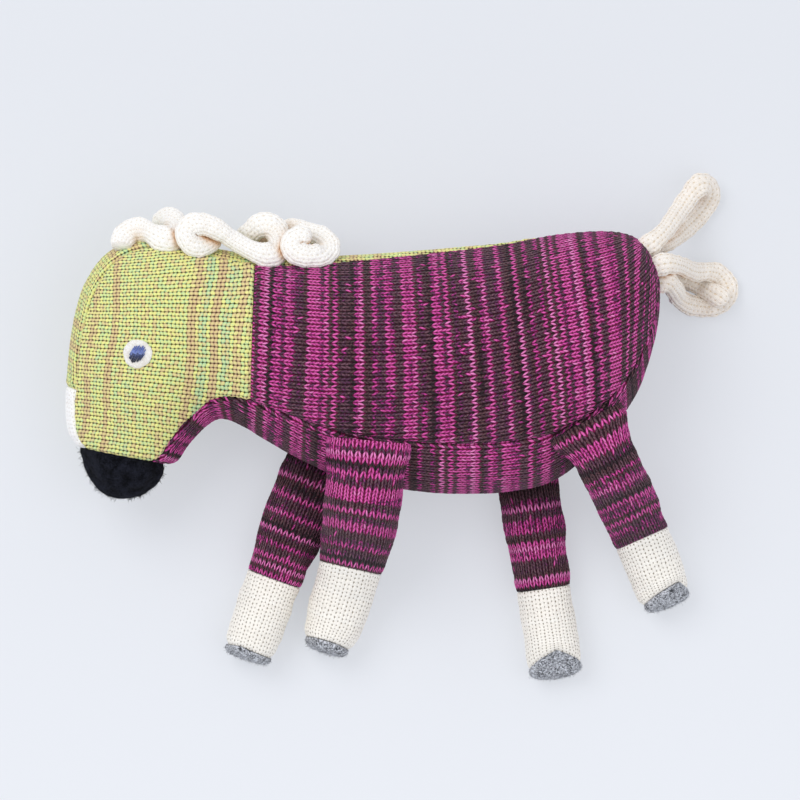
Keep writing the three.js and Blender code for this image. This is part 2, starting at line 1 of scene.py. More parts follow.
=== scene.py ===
# A machine-knit plush horse that lies on its right side on a pale surface, seen from straight above.
import bpy
import math
import numpy as np
from collections import namedtuple
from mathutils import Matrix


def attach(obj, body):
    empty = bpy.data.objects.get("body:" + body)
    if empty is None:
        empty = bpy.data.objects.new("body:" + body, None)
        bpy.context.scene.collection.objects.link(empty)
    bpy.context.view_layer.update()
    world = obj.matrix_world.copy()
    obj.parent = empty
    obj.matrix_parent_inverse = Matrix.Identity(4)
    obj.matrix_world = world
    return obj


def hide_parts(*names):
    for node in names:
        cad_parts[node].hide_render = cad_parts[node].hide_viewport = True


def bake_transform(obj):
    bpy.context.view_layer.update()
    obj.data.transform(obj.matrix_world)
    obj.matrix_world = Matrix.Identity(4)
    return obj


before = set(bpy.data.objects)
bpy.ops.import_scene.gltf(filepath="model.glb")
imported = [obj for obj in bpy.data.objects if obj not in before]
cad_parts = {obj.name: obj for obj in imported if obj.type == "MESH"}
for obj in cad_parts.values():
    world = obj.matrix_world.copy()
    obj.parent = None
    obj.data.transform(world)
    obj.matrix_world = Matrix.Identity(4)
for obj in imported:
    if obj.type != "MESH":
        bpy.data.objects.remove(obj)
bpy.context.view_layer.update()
scene = bpy.context.scene
scene.view_settings.view_transform = "Standard"

# Camera: straight over the toy, far enough away that its height hardly widens it. One pixel is 0.45 mm at
# the height of the middle plane.
camera_height = 4.0
picture_width = 0.360
aim = (0.0096, 0.0206, 0.035)
film_width = 36
camera = bpy.data.objects.new("camera", bpy.data.cameras.new("camera"))
scene.collection.objects.link(camera)
camera.location = (aim[0], aim[1], aim[2] + camera_height)
camera.data.sensor_width = film_width
camera.data.lens = film_width * camera_height / picture_width
camera.data.clip_end = 10
scene.camera = camera


# Surface and light: a seamless white table top under the even light of a white tent, a little stronger from
# the upper left. The lamps stay plain; the pale colour is the table's own, but its fall from the feet to the
# back is painted light.
def add(tree, kind, inputs=(), **settings):
    """Adds a node. inputs are values, sockets or nodes by place or name, None to leave one as it is."""
    node = tree.nodes.new(kind)
    for name, value in settings.items():
        setattr(node, name, value)
    for place, value in inputs.items() if isinstance(inputs, dict) else enumerate(inputs):
        value = value.outputs[0] if isinstance(value, bpy.types.Node) else value
        if isinstance(value, bpy.types.NodeSocket):
            tree.links.new(value, node.inputs[place])
        elif value is not None:
            node.inputs[place].default_value = value
    return node


def linear(code):
    """The linear colour of an sRGB hex code."""
    parts = [int(code[i : i + 2], 16) / 255 for i in (1, 3, 5)]
    parts = [c / 12.92 if c <= 0.04045 else ((c + 0.055) / 1.055) ** 2.4 for c in parts]
    return (*parts, 1.0)


def new_material(name):
    """An empty material, its tree and its output."""
    material = bpy.data.materials.new(name)
    material.use_nodes = True
    material.node_tree.nodes.clear()
    return material, material.node_tree, add(material.node_tree, "ShaderNodeOutputMaterial")


# Painted light: the table is lighter by the feet and darker behind the back.
paper_lit_near, paper_shaded_far = "#eaedf2", "#e2e5ea"    # by the feet and behind the back
paper_glow = 0.56                               # how much of its colour the camera sees without the lamps
table_half = 3
tent_colour, tent_strength = "#f5f7ff", 0.8
lamps = [  # name, place and width in metres, power in watts
    ("key", (-0.9, 0.9, 1.8), 1.2, 16.5),
    ("fill", (0.9, -0.2, 1.6), 1.2, 4.0),
]

# Matt coated paper: a pale tone without any gloss, with painted light that fades from the feet to behind the
# back.
paper, tree, out = new_material("table_paper")
place = add(tree, "ShaderNodeSeparateXYZ", [add(tree, "ShaderNodeTexCoord").outputs["Object"]])
back = add(tree, "ShaderNodeMapRange", [place.outputs[1], -picture_width / 2, picture_width / 2, 0.0, 1.0])
tone = add(tree, "ShaderNodeMix", {0: back, 6: linear(paper_lit_near), 7: linear(paper_shaded_far)}, data_type="RGBA")
shader = add(tree, "ShaderNodeBsdfPrincipled", {"Base Color": tone.outputs[2], "Roughness": 0.9})
glow = add(tree, "ShaderNodeEmission", [tone.outputs[2], 1.0])
ray = add(tree, "ShaderNodeLightPath").outputs
seen = add(tree, "ShaderNodeMath", [ray["Is Camera Ray"], ray["Is Glossy Ray"]], operation="ADD")
seen = add(tree, "ShaderNodeMath", [seen, ray["Is Transmission Ray"]], operation="ADD", use_clamp=True)
seen = add(tree, "ShaderNodeMath", [seen, paper_glow], operation="MULTIPLY")
shader = add(tree, "ShaderNodeMixShader", [seen, shader, glow])
tree.links.new(shader.outputs[0], out.inputs[0])

floor_mesh = bpy.data.meshes.new("table")
corners = [(-table_half, -table_half, 0), (table_half, -table_half, 0), (table_half, table_half, 0),
           (-table_half, table_half, 0)]
floor_mesh.from_pydata(corners, [], [(0, 1, 2, 3)])
floor_mesh.materials.append(paper)
table = bpy.data.objects.new("table", floor_mesh)
scene.collection.objects.link(table)
table.location.z = -0.0002    # just under the faces that lie on it

world = bpy.data.worlds.new("tent")
world.use_nodes = True
scene.world = world
world.node_tree.nodes["Background"].inputs[0].default_value = linear(tent_colour)
world.node_tree.nodes["Background"].inputs[1].default_value = tent_strength
for name, place, width, power in lamps:
    lamp = bpy.data.objects.new(name, bpy.data.lights.new(name, "AREA"))
    lamp.data.size = width
    lamp.data.energy = power
    lamp.location = place
    lamp.rotation_euler = (-lamp.location).to_track_quat("-Z", "Y").to_euler()
    scene.collection.objects.link(lamp)

# Bag: body, head and gusset panels. Each is a sheet of machine knit over the stuffing, sewn to its
# neighbours with the edges turned in, so that the cloth dips at every seam and puckers a little beside it.

# Its form, in millimetres, is an oval section at each station from the muzzle to the tail. The columns are
# top line and bottom line, along and up, then half thickness, the side seam's and the top gusset seam's angle
# from the top line in degrees, as in the CAD model.
torso_length, torso_depth, torso_thickness = 181.0, 109.4, 73.0
head_reach, head_height, head_thickness = 85.5, 117.7, 64.0
head_station_shares = [
    (0.722, -0.489, 0.700, -0.489, 0.07, 136, 33), (0.805, -0.467, 0.611, -0.478, 0.29, 136, 33),
    (0.863, -0.426, 0.542, -0.445, 0.46, 136, 33), (0.903, -0.365, 0.497, -0.403, 0.57, 136, 33),
    (0.932, -0.293, 0.479, -0.358, 0.64, 136, 33), (0.984, -0.235, 0.416, -0.342, 0.71, 136, 32),
    (1.000, -0.147, 0.366, -0.293, 0.80, 138, 31), (0.995, -0.052, 0.332, -0.262, 0.89, 140, 31),
    (0.984, 0.075, 0.300, -0.237, 0.97, 142, 31), (0.953, 0.208, 0.274, -0.218, 1.00, 145, 31),
    (0.895, 0.338, 0.253, -0.205, 1.00, 147, 31), (0.789, 0.446, 0.232, -0.193, 0.99, 147, 28),
    (0.621, 0.507, 0.208, -0.184, 0.99, 145, 26), (0.426, 0.495, 0.179, -0.180, 1.01, 142, 25),
    (0.216, 0.467, 0.121, -0.191, 1.04, 137, 24),
]
torso_station_shares = [
    (0.000, 0.473, -0.015, -0.241, 0.94, 133, 23), (0.109, 0.461, 0.090, -0.344, 0.98, 128, 20.5),
    (0.221, 0.473, 0.204, -0.430, 1.00, 127, 18), (0.346, 0.486, 0.338, -0.479, 1.00, 127, 15),
    (0.483, 0.504, 0.483, -0.502, 1.00, 127, 11.5), (0.619, 0.525, 0.619, -0.494, 1.00, 127, 7),
    (0.736, 0.556, 0.731, -0.455, 0.985, 128, 0), (0.826, 0.570, 0.836, -0.331, 0.95, 130, 0),
    (0.886, 0.570, 0.915, -0.175, 0.88, 133, 0), (0.925, 0.558, 0.968, 0.006, 0.78, 134, 0),
    (0.950, 0.537, 0.998, 0.195, 0.64, 135, 0), (0.964, 0.514, 1.002, 0.360, 0.42, 136, 0),
    (0.970, 0.496, 0.983, 0.457, 0.17, 137, 0),
]
muzzle_station, blaze_station, neck_station = 4.0, 6.95, 15.0
gusset_end_station, tail_station = neck_station + 5.7, 27.0
middle_plane = 36.0
frame_shift = np.array([-55.1519, 33.6554, 0.0])   # from the pattern's origin to the row frame
cloth, stitch_relief, seam_gap = 1.6, 0.3, 0.15    # thickness, height of a stitch, half the gap in a seam
body_wale, body_course = 3.3, 2.0                  # size of a stitch
head_wale, head_course, blaze_course = 3.6, 1.8, 1.9
stations = []
for rows, reach, height, side in (
    (head_station_shares, -head_reach, head_height, head_thickness),
    (torso_station_shares, torso_length, torso_depth, torso_thickness),
):
    for top_x, top_y, low_x, low_y, half, seam, strip in rows:
        stations.append((top_x * reach, top_y * height, low_x * reach, low_y * height, half * side / 2,
                         math.radians(seam), math.radians(strip)))


def spline(points):
    """An even Catmull-Rom curve through points, over 0 to 1."""
    points = np.array(points, float)
    padded = np.vstack([2 * points[0] - points[1], points, 2 * points[-1] - points[-2]])

    def at(share):
        place = np.clip(np.asarray(share, float), 0, 1) * (len(points) - 1)
        first = np.minimum(place.astype(int), len(points) - 2)
        f = (place - first)[..., None]
        a, b, c, d = (padded[first + i] for i in range(4))
        start, end = (c - a) / 2, (d - b) / 2
        cube, square = 2 * b - 2 * c + start + end, 3 * c - 3 * b - 2 * start - end
        return cube * f**3 + square * f**2 + start * f + b

    return at


station_at = spline(stations)


def section(station):
    return station_at(np.asarray(station, float) / tail_station)


def oval(station, angle):
    """Points of the bag's oval skin."""
    s = section(station)
    x = (s[..., 0] + s[..., 2]) / 2 + (s[..., 0] - s[..., 2]) / 2 * np.cos(angle)
    y = (s[..., 1] + s[..., 3]) / 2 + (s[..., 1] - s[..., 3]) / 2 * np.cos(angle)
    z = middle_plane + s[..., 4] * np.sin(angle)
    return np.stack(np.broadcast_arrays(x, y, z), -1) + frame_shift


def unit(vectors):
    return vectors / np.maximum(np.linalg.norm(vectors, axis=-1, keepdims=True), 1e-9)


def skin_normal(station, angle, step=0.02):
    along = oval(station + step, angle) - oval(station - step, angle)
    round_ = oval(station, angle + step) - oval(station, angle - step)
    return unit(np.cross(round_, along))


def skin(station, angle, depth=0.0):
    """Points at a depth under the skin, none of them below the surface that the toy lies on."""
    station, angle = np.broadcast_arrays(np.asarray(station, float), np.asarray(angle, float))
    points = oval(station, angle) - skin_normal(station, angle) * np.asarray(depth, float)[..., None]
    points[..., 2] = np.maximum(points[..., 2], 0)
    return points


def seam_angle(station):
    return section(station)[..., 5]


def strip_angle(station):
    """The top gusset seam's angle."""
    return np.maximum(section(station)[..., 6], 0)


def lumps(points, pitch, seed, waves=7):
    """Smooth random waves of about one pitch, from -1 to 1."""
    random = np.random.default_rng(seed)
    total = np.zeros(points.shape[:-1])
    for _ in range(waves):
        way = unit(random.normal(size=3))
        turns = points @ way * (2 * math.pi / pitch) * random.uniform(0.7, 1.4)
        total += np.sin(turns + random.uniform(0, 6.3))
    return total / waves**0.5 / 1.4


def build(name, vertices, faces, uvs, material):
    """An object from points in millimetres, its faces and a pair of knit coordinates for each corner."""
    mesh = bpy.data.meshes.new(name)
    mesh.from_pydata((vertices * 0.001).tolist(), [], faces)
    layer = mesh.uv_layers.new(name="knit")
    layer.data.foreach_set("uv", np.asarray(uvs, np.float32).ravel())
    mesh.materials.append(material)
    mesh.polygons.foreach_set("use_smooth", [True] * len(mesh.polygons))
    piece = bpy.data.objects.new(name, mesh)
    scene.collection.objects.link(piece)
    return piece


def facing(vertices, quads, corners):
    """Quads and their corner values, turned to face out."""
    a, b, c, d = (vertices[quads[:, i]] for i in range(4))
    volume = np.einsum("ij,ij->i", a, np.cross(b, c) + np.cross(c, d)).sum()
    return (quads, corners) if volume > 0 else (quads[:, ::-1], corners[:, ::-1])


def shell(name, outer, inner, knit, material):
    """A closed panel between two grids of points of the same rows and columns."""
    rows, columns = outer.shape[:2]
    vertices = np.vstack([outer.reshape(-1, 3), inner.reshape(-1, 3)])
    flat_knit = np.tile(knit.reshape(-1, 2), (2, 1))
    number = np.arange(2 * rows * columns).reshape(2, rows, columns)
    parts = [
        np.stack([number[0, :-1, :-1], number[0, :-1, 1:], number[0, 1:, 1:], number[0, 1:, :-1]], -1),
        np.stack([number[1, :-1, :-1], number[1, 1:, :-1], number[1, 1:, 1:], number[1, :-1, 1:]], -1),
    ]
    rims = [(number[:, :, 0], False), (number[:, :, -1], True), (number[:, 0, :], True),
            (number[:, -1, :], False)]
    for (top, low), flip in rims:
        rim = np.stack([top[:-1], top[1:], low[1:], low[:-1]], -1)
        parts.append(rim[:, ::-1] if flip else rim)
    quads = np.vstack([part.reshape(-1, 4) for part in parts])
    quads, corners = facing(vertices, quads, flat_knit[quads])
    return build(name, vertices, quads.tolist(), corners, material)


# Plain machine knit. Each half wale is a column of slanting legs of yarn, one to a course, and two columns
# make a row of Vs. The knit coordinates count wales and courses, so every stitch has its real size. Colour
# changes by the course, as it does where a striped yarn is knitted in.
drift_scale, tuft_scale = 190.0, 1100.0    # per metre: the stitches wander over 5 mm, tufts are 0.9 mm
fibre_scale = 2600.0                       # 0.4 mm, as coarse as wool fibres need to be to show
wander_by = (0.2, 0.55, 0)                 # how far the stitches wander, in wales and courses
drift_pace = (0.4, 0.06, 0)                # waves of the slow drift to a course and to a wale
fleck_limit = 0.965                        # a leg whose random value is above it is a fleck


def knitted(name, yarns, painted_shade, length=0.8, width=0.36, splay=0.34, close=0.06, run=0.5, patch=0.2,
            own=0.3, fade=0.2, speckle=0.2, flecks=0.0, heather=0.3, depth=0.0003, deep=(0.0, 0.35),
            crest=None, fold=None):
    """yarns is a ramp of colours over a course's value. That value adds up shares of a group of courses
    (patch), which changes as fast as run says, of the single course (own), a slow drift (fade), each leg
    (speckle), rare bright legs (flecks) and tufts (heather). length and width are a leg's half sizes in
    courses and half wales, splay and close its slant and how near it stands to its partner. painted_shade
    tints the yarn in its depths as painted shade between the legs, which deep bounds, and depth is the
    relief in metres. crest is the colour and share of a second ply along each leg's top, which there also
    stands for a painted highlight, and fold the tint of painted shade where the cloth folds on itself."""
    material, tree, out = new_material(name)
    place = add(tree, "ShaderNodeTexCoord").outputs["Object"]
    wobble = add(tree, "ShaderNodeTexNoise", {"Vector": place, "Scale": drift_scale, "Detail": 1.0})
    wobble = add(tree, "ShaderNodeVectorMath", [wobble.outputs[1], (0.5, 0.5, 0.5)], operation="SUBTRACT")
    wobble = add(tree, "ShaderNodeVectorMath", [wobble, wander_by], operation="MULTIPLY")
    knit = add(tree, "ShaderNodeUVMap", uv_map="knit")
    knit = add(tree, "ShaderNodeVectorMath", [knit, wobble], operation="ADD")
    wale, course, _ = add(tree, "ShaderNodeSeparateXYZ", [knit]).outputs

    # Height over the two legs that reach this point, the course's own and the next one's.
    edge = add(tree, "ShaderNodeMath", [wale, 0.5], operation="PINGPONG")
    ahead = add(tree, "ShaderNodeMath", [course], operation="FRACT")
    heights = []
    for reach in (ahead, add(tree, "ShaderNodeMath", [ahead, 1.0], operation="SUBTRACT")):
        aside = add(tree, "ShaderNodeMath", [reach, -splay, close + 0.5], operation="MULTIPLY_ADD")
        aside = add(tree, "ShaderNodeMath", [edge, -2.0, aside], operation="MULTIPLY_ADD")
        aside = add(tree, "ShaderNodeMath", [aside, aside], operation="MULTIPLY")
        height = add(tree, "ShaderNodeMath", [reach, reach], operation="MULTIPLY")
        height = add(tree, "ShaderNodeMath", [height, -1 / length**2, 1.0], operation="MULTIPLY_ADD")
        heights.append(add(tree, "ShaderNodeMath", [aside, -1 / width**2, height], operation="MULTIPLY_ADD"))
    row = add(tree, "ShaderNodeMath", [heights[1], heights[0]], operation="GREATER_THAN")
    row = add(tree, "ShaderNodeMath", [add(tree, "ShaderNodeMath", [course], operation="FLOOR"), row])
    height = add(tree, "ShaderNodeMath", heights, operation="MAXIMUM")
    height = add(tree, "ShaderNodeMath", [height, 0.0], operation="MAXIMUM")
    height = add(tree, "ShaderNodeMath", [height, 0.7], operation="POWER")

    # The course's value, and the yarn's colour from it.
    leg = add(tree, "ShaderNodeMath", [wale, 2.0], operation="MULTIPLY")
    leg = add(tree, "ShaderNodeCombineXYZ", [add(tree, "ShaderNodeMath", [leg], operation="FLOOR"), row])
    leg = add(tree, "ShaderNodeTexWhiteNoise", [leg], noise_dimensions="2D").outputs[0]
    single = add(tree, "ShaderNodeTexWhiteNoise", {"W": row}, noise_dimensions="1D").outputs[0]
    group = add(tree, "ShaderNodeMath", [row, run], operation="MULTIPLY")
    group = add(tree, "ShaderNodeTexNoise", {"W": group, "Scale": 1.0, "Detail": 0.0}, noise_dimensions="1D")
    drift = add(tree, "ShaderNodeCombineXYZ", [row, wale])
    drift = add(tree, "ShaderNodeVectorMath", [drift, drift_pace], operation="MULTIPLY")
    drift = add(tree, "ShaderNodeTexNoise", {"Vector": drift, "Scale": 1.0, "Detail": 1.0},
                noise_dimensions="2D")
    fleck = add(tree, "ShaderNodeMath", [leg, fleck_limit], operation="GREATER_THAN")
    tuft = add(tree, "ShaderNodeTexNoise", {"Vector": place, "Scale": tuft_scale, "Detail": 1.0})
    tone = 0.5 - (patch + own + fade + speckle + heather) / 2
    parts = (group, single, drift, leg, fleck, tuft)
    for part, weight in zip(parts, (patch, own, fade, speckle, flecks, heather)):
        tone = add(tree, "ShaderNodeMath", [part, weight, tone], operation="MULTIPLY_ADD")
    ramp = add(tree, "ShaderNodeValToRGB", [tone])
    for i, (share, code) in enumerate(yarns):
        stop = ramp.color_ramp.elements[i] if i < 2 else ramp.color_ramp.elements.new(share)
        stop.position, stop.color = share, linear(code)
    fibre = add(tree, "ShaderNodeTexNoise", {"Vector": place, "Scale": fibre_scale, "Detail": 2.0})
    shade = add(tree, "ShaderNodeMapRange", [fibre, 0.3, 0.7, 0.84, 1.12])
    yarn = add(tree, "ShaderNodeVectorMath", {0: ramp, "Scale": shade}, operation="SCALE").outputs[0]
    # A second ply along each leg's top, made lighter there as a painted highlight as well.
    if crest:
        top = add(tree, "ShaderNodeMapRange", [height, 0.5, 0.95, 0.0, crest[1]])
        yarn = add(tree, "ShaderNodeMix", {0: top, 6: yarn, 7: linear(crest[0])}, data_type="RGBA").outputs[2]
    # Painted shade: the yarn turns darker and browner by the fold tint where ambient occlusion finds the
    # cloth folded on itself.
    if fold:
        hidden = add(tree, "ShaderNodeAmbientOcclusion", {"Distance": 0.008}, samples=6, only_local=True)
        hidden = add(tree, "ShaderNodeMapRange", [hidden.outputs[1], 0.2, 0.9, 1.0, 0.0])
        painted_fold_shade = add(tree, "ShaderNodeVectorMath", [yarn, linear(fold)[:3]], operation="MULTIPLY")
        yarn = add(tree, "ShaderNodeMix", {0: hidden, 6: yarn, 7: painted_fold_shade}, data_type="RGBA").outputs[2]

    # Shadow between the legs, relief and a dull, slightly hairy face.
    shadow = add(tree, "ShaderNodeVectorMath", [yarn, linear(painted_shade)[:3]], operation="MULTIPLY")
    raised = add(tree, "ShaderNodeMapRange", [height, *deep, 0.0, 1.0])
    colour = add(tree, "ShaderNodeMix", {0: raised, 6: shadow, 7: yarn}, data_type="RGBA").outputs[2]
    relief = add(tree, "ShaderNodeMath", [fibre, 0.2, height], operation="MULTIPLY_ADD")
    bump = add(tree, "ShaderNodeBump", {"Height": relief, "Distance": depth, "Strength": 0.8})
    rough = add(tree, "ShaderNodeMapRange", [fibre, 0.3, 0.7, 0.85, 1.0])
    shader = add(tree, "ShaderNodeBsdfPrincipled", {
        "Base Color": colour, "Roughness": rough, "Normal": bump,
        "Specular IOR Level": 0.12, "Sheen Weight": 0.12, "Sheen Roughness": 0.6,
    })
    tree.links.new(shader.outputs[0], out.inputs[0])
    return material


# Wool dyed in stretches of magenta and brown: single rows and bands of either, with painted shade between the
# legs.
magenta_knit = knitted("wool_knit_magenta_brown", [
    (0.0, "#34222a"), (1.0, "#f288c8"), (0.10, "#704c50"), (0.20, "#422832"), (0.30, "#7c5662"),
    (0.40, "#503046"), (0.48, "#6c365c"), (0.52, "#9c2e7c"), (0.60, "#dc4aa4"), (0.75, "#ee6cba"),
    (0.87, "#c83e92"),
], "#762856", length=0.74, width=0.31, run=0.55, patch=0.9, own=0.75, fade=0.5, speckle=0.18, flecks=0.3,
    heather=0.45, depth=0.0006, deep=(0.08, 0.8))
# A tan, a yellow and a green ply, knitted loosely: soft bands, a yellow crest on each leg that is both the
# yellow ply and a painted highlight, and open holes darkened by painted shade.
green_knit = knitted("wool_knit_lime_tan", [
    (0.0, "#cca886"), (1.0, "#b0d8a8"), (0.24, "#d2b68c"), (0.36, "#e0d094"), (0.44, "#eeec90"),
    (0.50, "#eaea8a"), (0.58, "#c8e29e"), (0.66, "#b4d8a4"), (0.74, "#ecea8e"), (0.84, "#d2b48c"),
], "#5a4c22", length=0.62, width=0.5, splay=0.22, close=0.015, run=0.34, patch=1.45, own=0.12, fade=0.2,
    speckle=0.4, heather=0.6, depth=0.0004, deep=(0.0, 0.5), crest=("#f6f298", 0.5))
# Undyed wool, washed until its stitches have nearly closed: almost plain and white, with faint painted shade
# between the legs.
blaze_knit = knitted("wool_knit_cream_fulled", [
    (0.0, "#fbf8f2"), (1.0, "#fffefb"), (0.5, "#fefcf8"),
], "#dcd6cc", length=0.64, width=0.55, splay=0.2, close=0.02, depth=0.0002, deep=(0.0, 0.3))


def travel(points, axis):
    """Distance along the rows or columns of a grid of points."""
    gaps = np.linalg.norm(np.diff(points, axis=axis), axis=-1)
    return np.concatenate([np.zeros_like(np.take(gaps, [0], axis)), np.cumsum(gaps, axis)], axis)


def seam_dip(distance, along, crease=0.9, ridge=0.15, pucker=0.2, pitch=5.0):
    """How deep the cloth lies at a distance from a seam: a crease at the seam, a low ridge 2.6 mm beside it
    and puckers that die out over 4 mm."""
    crease = crease * np.exp(-((distance / 0.9) ** 2))
    ridge = ridge * np.exp(-(((distance - 2.6) / 1.6) ** 2))
    fold = np.sin(along * (2 * math.pi / pitch) + 1.7 * np.sin(along / 7.0)) * np.exp(-distance / 4.0)
    return crease - ridge + pucker * fold


# Length of the cloth over the head's round profile, from nose to neck and from jaw to crown, so that stitches
# keep their size where it turns away.
neck_x = float(oval(neck_station, 0.0)[0])
nose_start, nose_reach = -25, 61      # the cheek is flat as far as the start and turns away over the reach
crown_start, crown_reach = 15, 46
head_x = np.linspace(-head_reach, 0, 300)
nose_share = np.minimum(head_x - nose_start, 0) / nose_reach
head_z = head_thickness / 2 * np.sqrt(np.maximum(1 - nose_share**2, 0))
head_length = travel(np.stack([head_x, head_z], 1), 0)
head_y = np.linspace(-60, 60, 300)
crown_share = np.maximum(head_y - crown_start, 0) / crown_reach
crown_z = head_thickness / 2 * np.sqrt(np.maximum(1 - crown_share**2, 0))
crown_length = travel(np.stack([head_y, crown_z], 1), 0)


def body_knit(points, across):
    """Wales run from neck to rump and courses up the side, which lean more towards the rump."""
    x, y = points[..., 0], points[..., 1]
    lean = np.clip((x - neck_x) / torso_length, 0, 1) * 0.22
    middle = across[:, across.shape[1] // 2, None]
    return np.stack([(across - middle) / body_wale, (travel(points, 0) + lean * (y - 30)) / body_course], -1)


def head_knit(points, across):
    """Wales run across the cheek and tip down towards the neck; courses run up the cheek and wander."""
    x, y = points[..., 0] - frame_shift[0], points[..., 1] - frame_shift[1]
    tilt = np.interp(y, [-50, 20, 60], [0.18, 0.04, -0.12])
    wander = 0.7 * np.sin(y / 8 + x / 15)
    return np.stack([np.interp(y + tilt * (x + 40), head_y, crown_length) / head_wale,
                     np.interp(x - 0.09 * y + wander, head_x, head_length) / head_course], -1)


def strip_knit(wale, course):
    """Wales run along a strip from its middle line out, and courses across it."""
    def knit(points, across):
        along = travel(points[:, points.shape[1] // 2], 0)[:, None]
        return np.stack(np.broadcast_arrays((across - across[:, -1:] / 2) / wale, along / course), -1)

    return knit


def stitches(wale, course, length=0.75, width=0.5, splay=0.4, close=0.06):
    """Height of a knitted face, from 0 to 1, as the knit materials have it."""
    edge = np.abs(wale % 1 - 0.5) * 2 - 0.5 + close
    heights = []
    for reach in (course % 1, course % 1 - 1):
        heights.append(1 - (reach / length) ** 2 - ((edge - splay * reach) / width) ** 2)
    return np.maximum(np.maximum(*heights), 0) ** 0.7


def bag_panel(node, span, low, high, size, knit, material, seed, swell=0.45):
    """A panel over a span of stations between two seams' angles, as size rows and columns of points."""
    rows, columns = size
    end_gap = 0.006    # in stations
    along = np.linspace(0, 1, rows)
    share = np.linspace(0, 1, columns)
    share = 0.55 * share + 0.45 * (1 - np.cos(math.pi * share)) / 2    # closer together by the seams
    station = (span[0] + end_gap + (span[1] - span[0] - 2 * end_gap) * along)[:, None]
    first, last = low(station), high(station)
    reach = np.linalg.norm(oval(station, first + 0.01) - oval(station, first - 0.01), axis=-1) / 0.02
    gap = seam_gap / reach
    angle = first + gap + (last - first - 2 * gap) * share
    base = skin(station, angle)
    across, onward = travel(base, 1), travel(base, 0)
    ends = [across, across[:, -1:] - across, onward, onward[-1:] - onward]
    middle = onward[:, columns // 2, None]
    depth = sum(seam_dip(d, middle) for d in ends[:2]) + sum(seam_dip(d, across) for d in ends[2:])
    calm = 1 - np.exp(-np.minimum.reduce(ends) / 9)    # no lumps close to a seam
    depth = depth - swell * calm * (lumps(base, 34, seed) + 0.35 * lumps(base, 11, seed + 50))
    loops = knit(base, across)
    outer = skin(station, angle, depth - stitch_relief * stitches(loops[..., 0], loops[..., 1]))
    name = node.replace("_panel", "") + "_knit"
    piece = shell(name, outer, skin(station, angle, depth + cloth), loops, material)
    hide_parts(node)
    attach(piece, "torso")


both_sides = (("left", 1), ("right", -1))
body_span, head_span = (neck_station, tail_station), (muzzle_station, neck_station)
for side, sign in both_sides:
    low, high = (lambda s, g=sign: g * strip_angle(s)), (lambda s, g=sign: g * seam_angle(s))
    if sign < 0:
        low, high = high, low
    bag_panel(f"body_{side}_panel", body_span, low, high, (400, 220), body_knit, magenta_knit,
              3 + sign)
    bag_panel(f"head_{side}_panel", head_span, low, high, (220, 210), head_knit, green_knit,
              7 + sign)
bag_panel("belly_gusset", (muzzle_station, tail_station), seam_angle, lambda s: 2 * math.pi - seam_angle(s),
          (500, 130), strip_knit(body_wale, body_course), magenta_knit, 11, 0.3)
bag_panel("top_gusset", (blaze_station, gusset_end_station), lambda s: -strip_angle(s), strip_angle,
          (180, 36), strip_knit(head_wale, head_course), green_knit, 12, 0.2)
bag_panel("blaze", (muzzle_station, blaze_station), lambda s: -strip_angle(s), strip_angle,
          (40, 36), strip_knit(head_wale, blaze_course), blaze_knit, 13, 0.2)

# Muzzle: a cap of felted black wool, one cupped piece, sewn over the front end of the bag. Loose fibres of
# the felt stand off it.
cap_thickness = 2.2
cap_edge = muzzle_station - 0.01
cap_hairs = 1600


def closed(rings, knit=None, looped=False):
    """A closed body through rings of points. knit holds wales and courses for each point, the first
    repeated."""
    rows, sides = rings.shape[:2]
    knit = np.zeros((rows, sides + 1, 2)) if knit is None else knit
    vertices = rings.reshape(-1, 3)
    row, side = np.meshgrid(np.arange(rows if looped else rows - 1), np.arange(sides), indexing="ij")
    row, side = row.ravel(), side.ravel()
    after, beside = (row + 1) % rows, (side + 1) % sides
    quads = np.stack([row * sides + side, row * sides + beside, after * sides + beside,
                      after * sides + side], 1)
    corners = np.stack([knit[row, side], knit[row, side + 1], knit[after, side + 1], knit[after, side]], 1)
    for end in () if looped else (0, rows - 1):
        centre = len(vertices)
        vertices = np.vstack([vertices, rings[end].mean(0)])
        i = np.arange(0, sides, 2)
        a, b, c = end * sides + i, end * sides + i + 1, end * sides + (i + 2) % sides
        fan = np.stack([a, b, c, np.full(len(i), centre)], 1)
        fan_knit = np.stack([knit[end, i], knit[end, i + 1], knit[end, i + 2], knit[end, i]], 1)
        if end == 0:
            fan, fan_knit = fan[:, ::-1], fan_knit[:, ::-1]
        quads, corners = np.vstack([quads, fan]), np.vstack([corners, fan_knit])
    return vertices, *facing(vertices, quads, corners)


def loft(name, parts, material):
    """One object of one or more closed bodies."""
    count = np.cumsum([0] + [len(vertices) for vertices, _, _ in parts])
    quads = np.vstack([quads + start for (_, quads, _), start in zip(parts, count)])
    return build(name, np.vstack([part[0] for part in parts]), quads.tolist(),
                 np.vstack([part[2] for part in parts]), material)


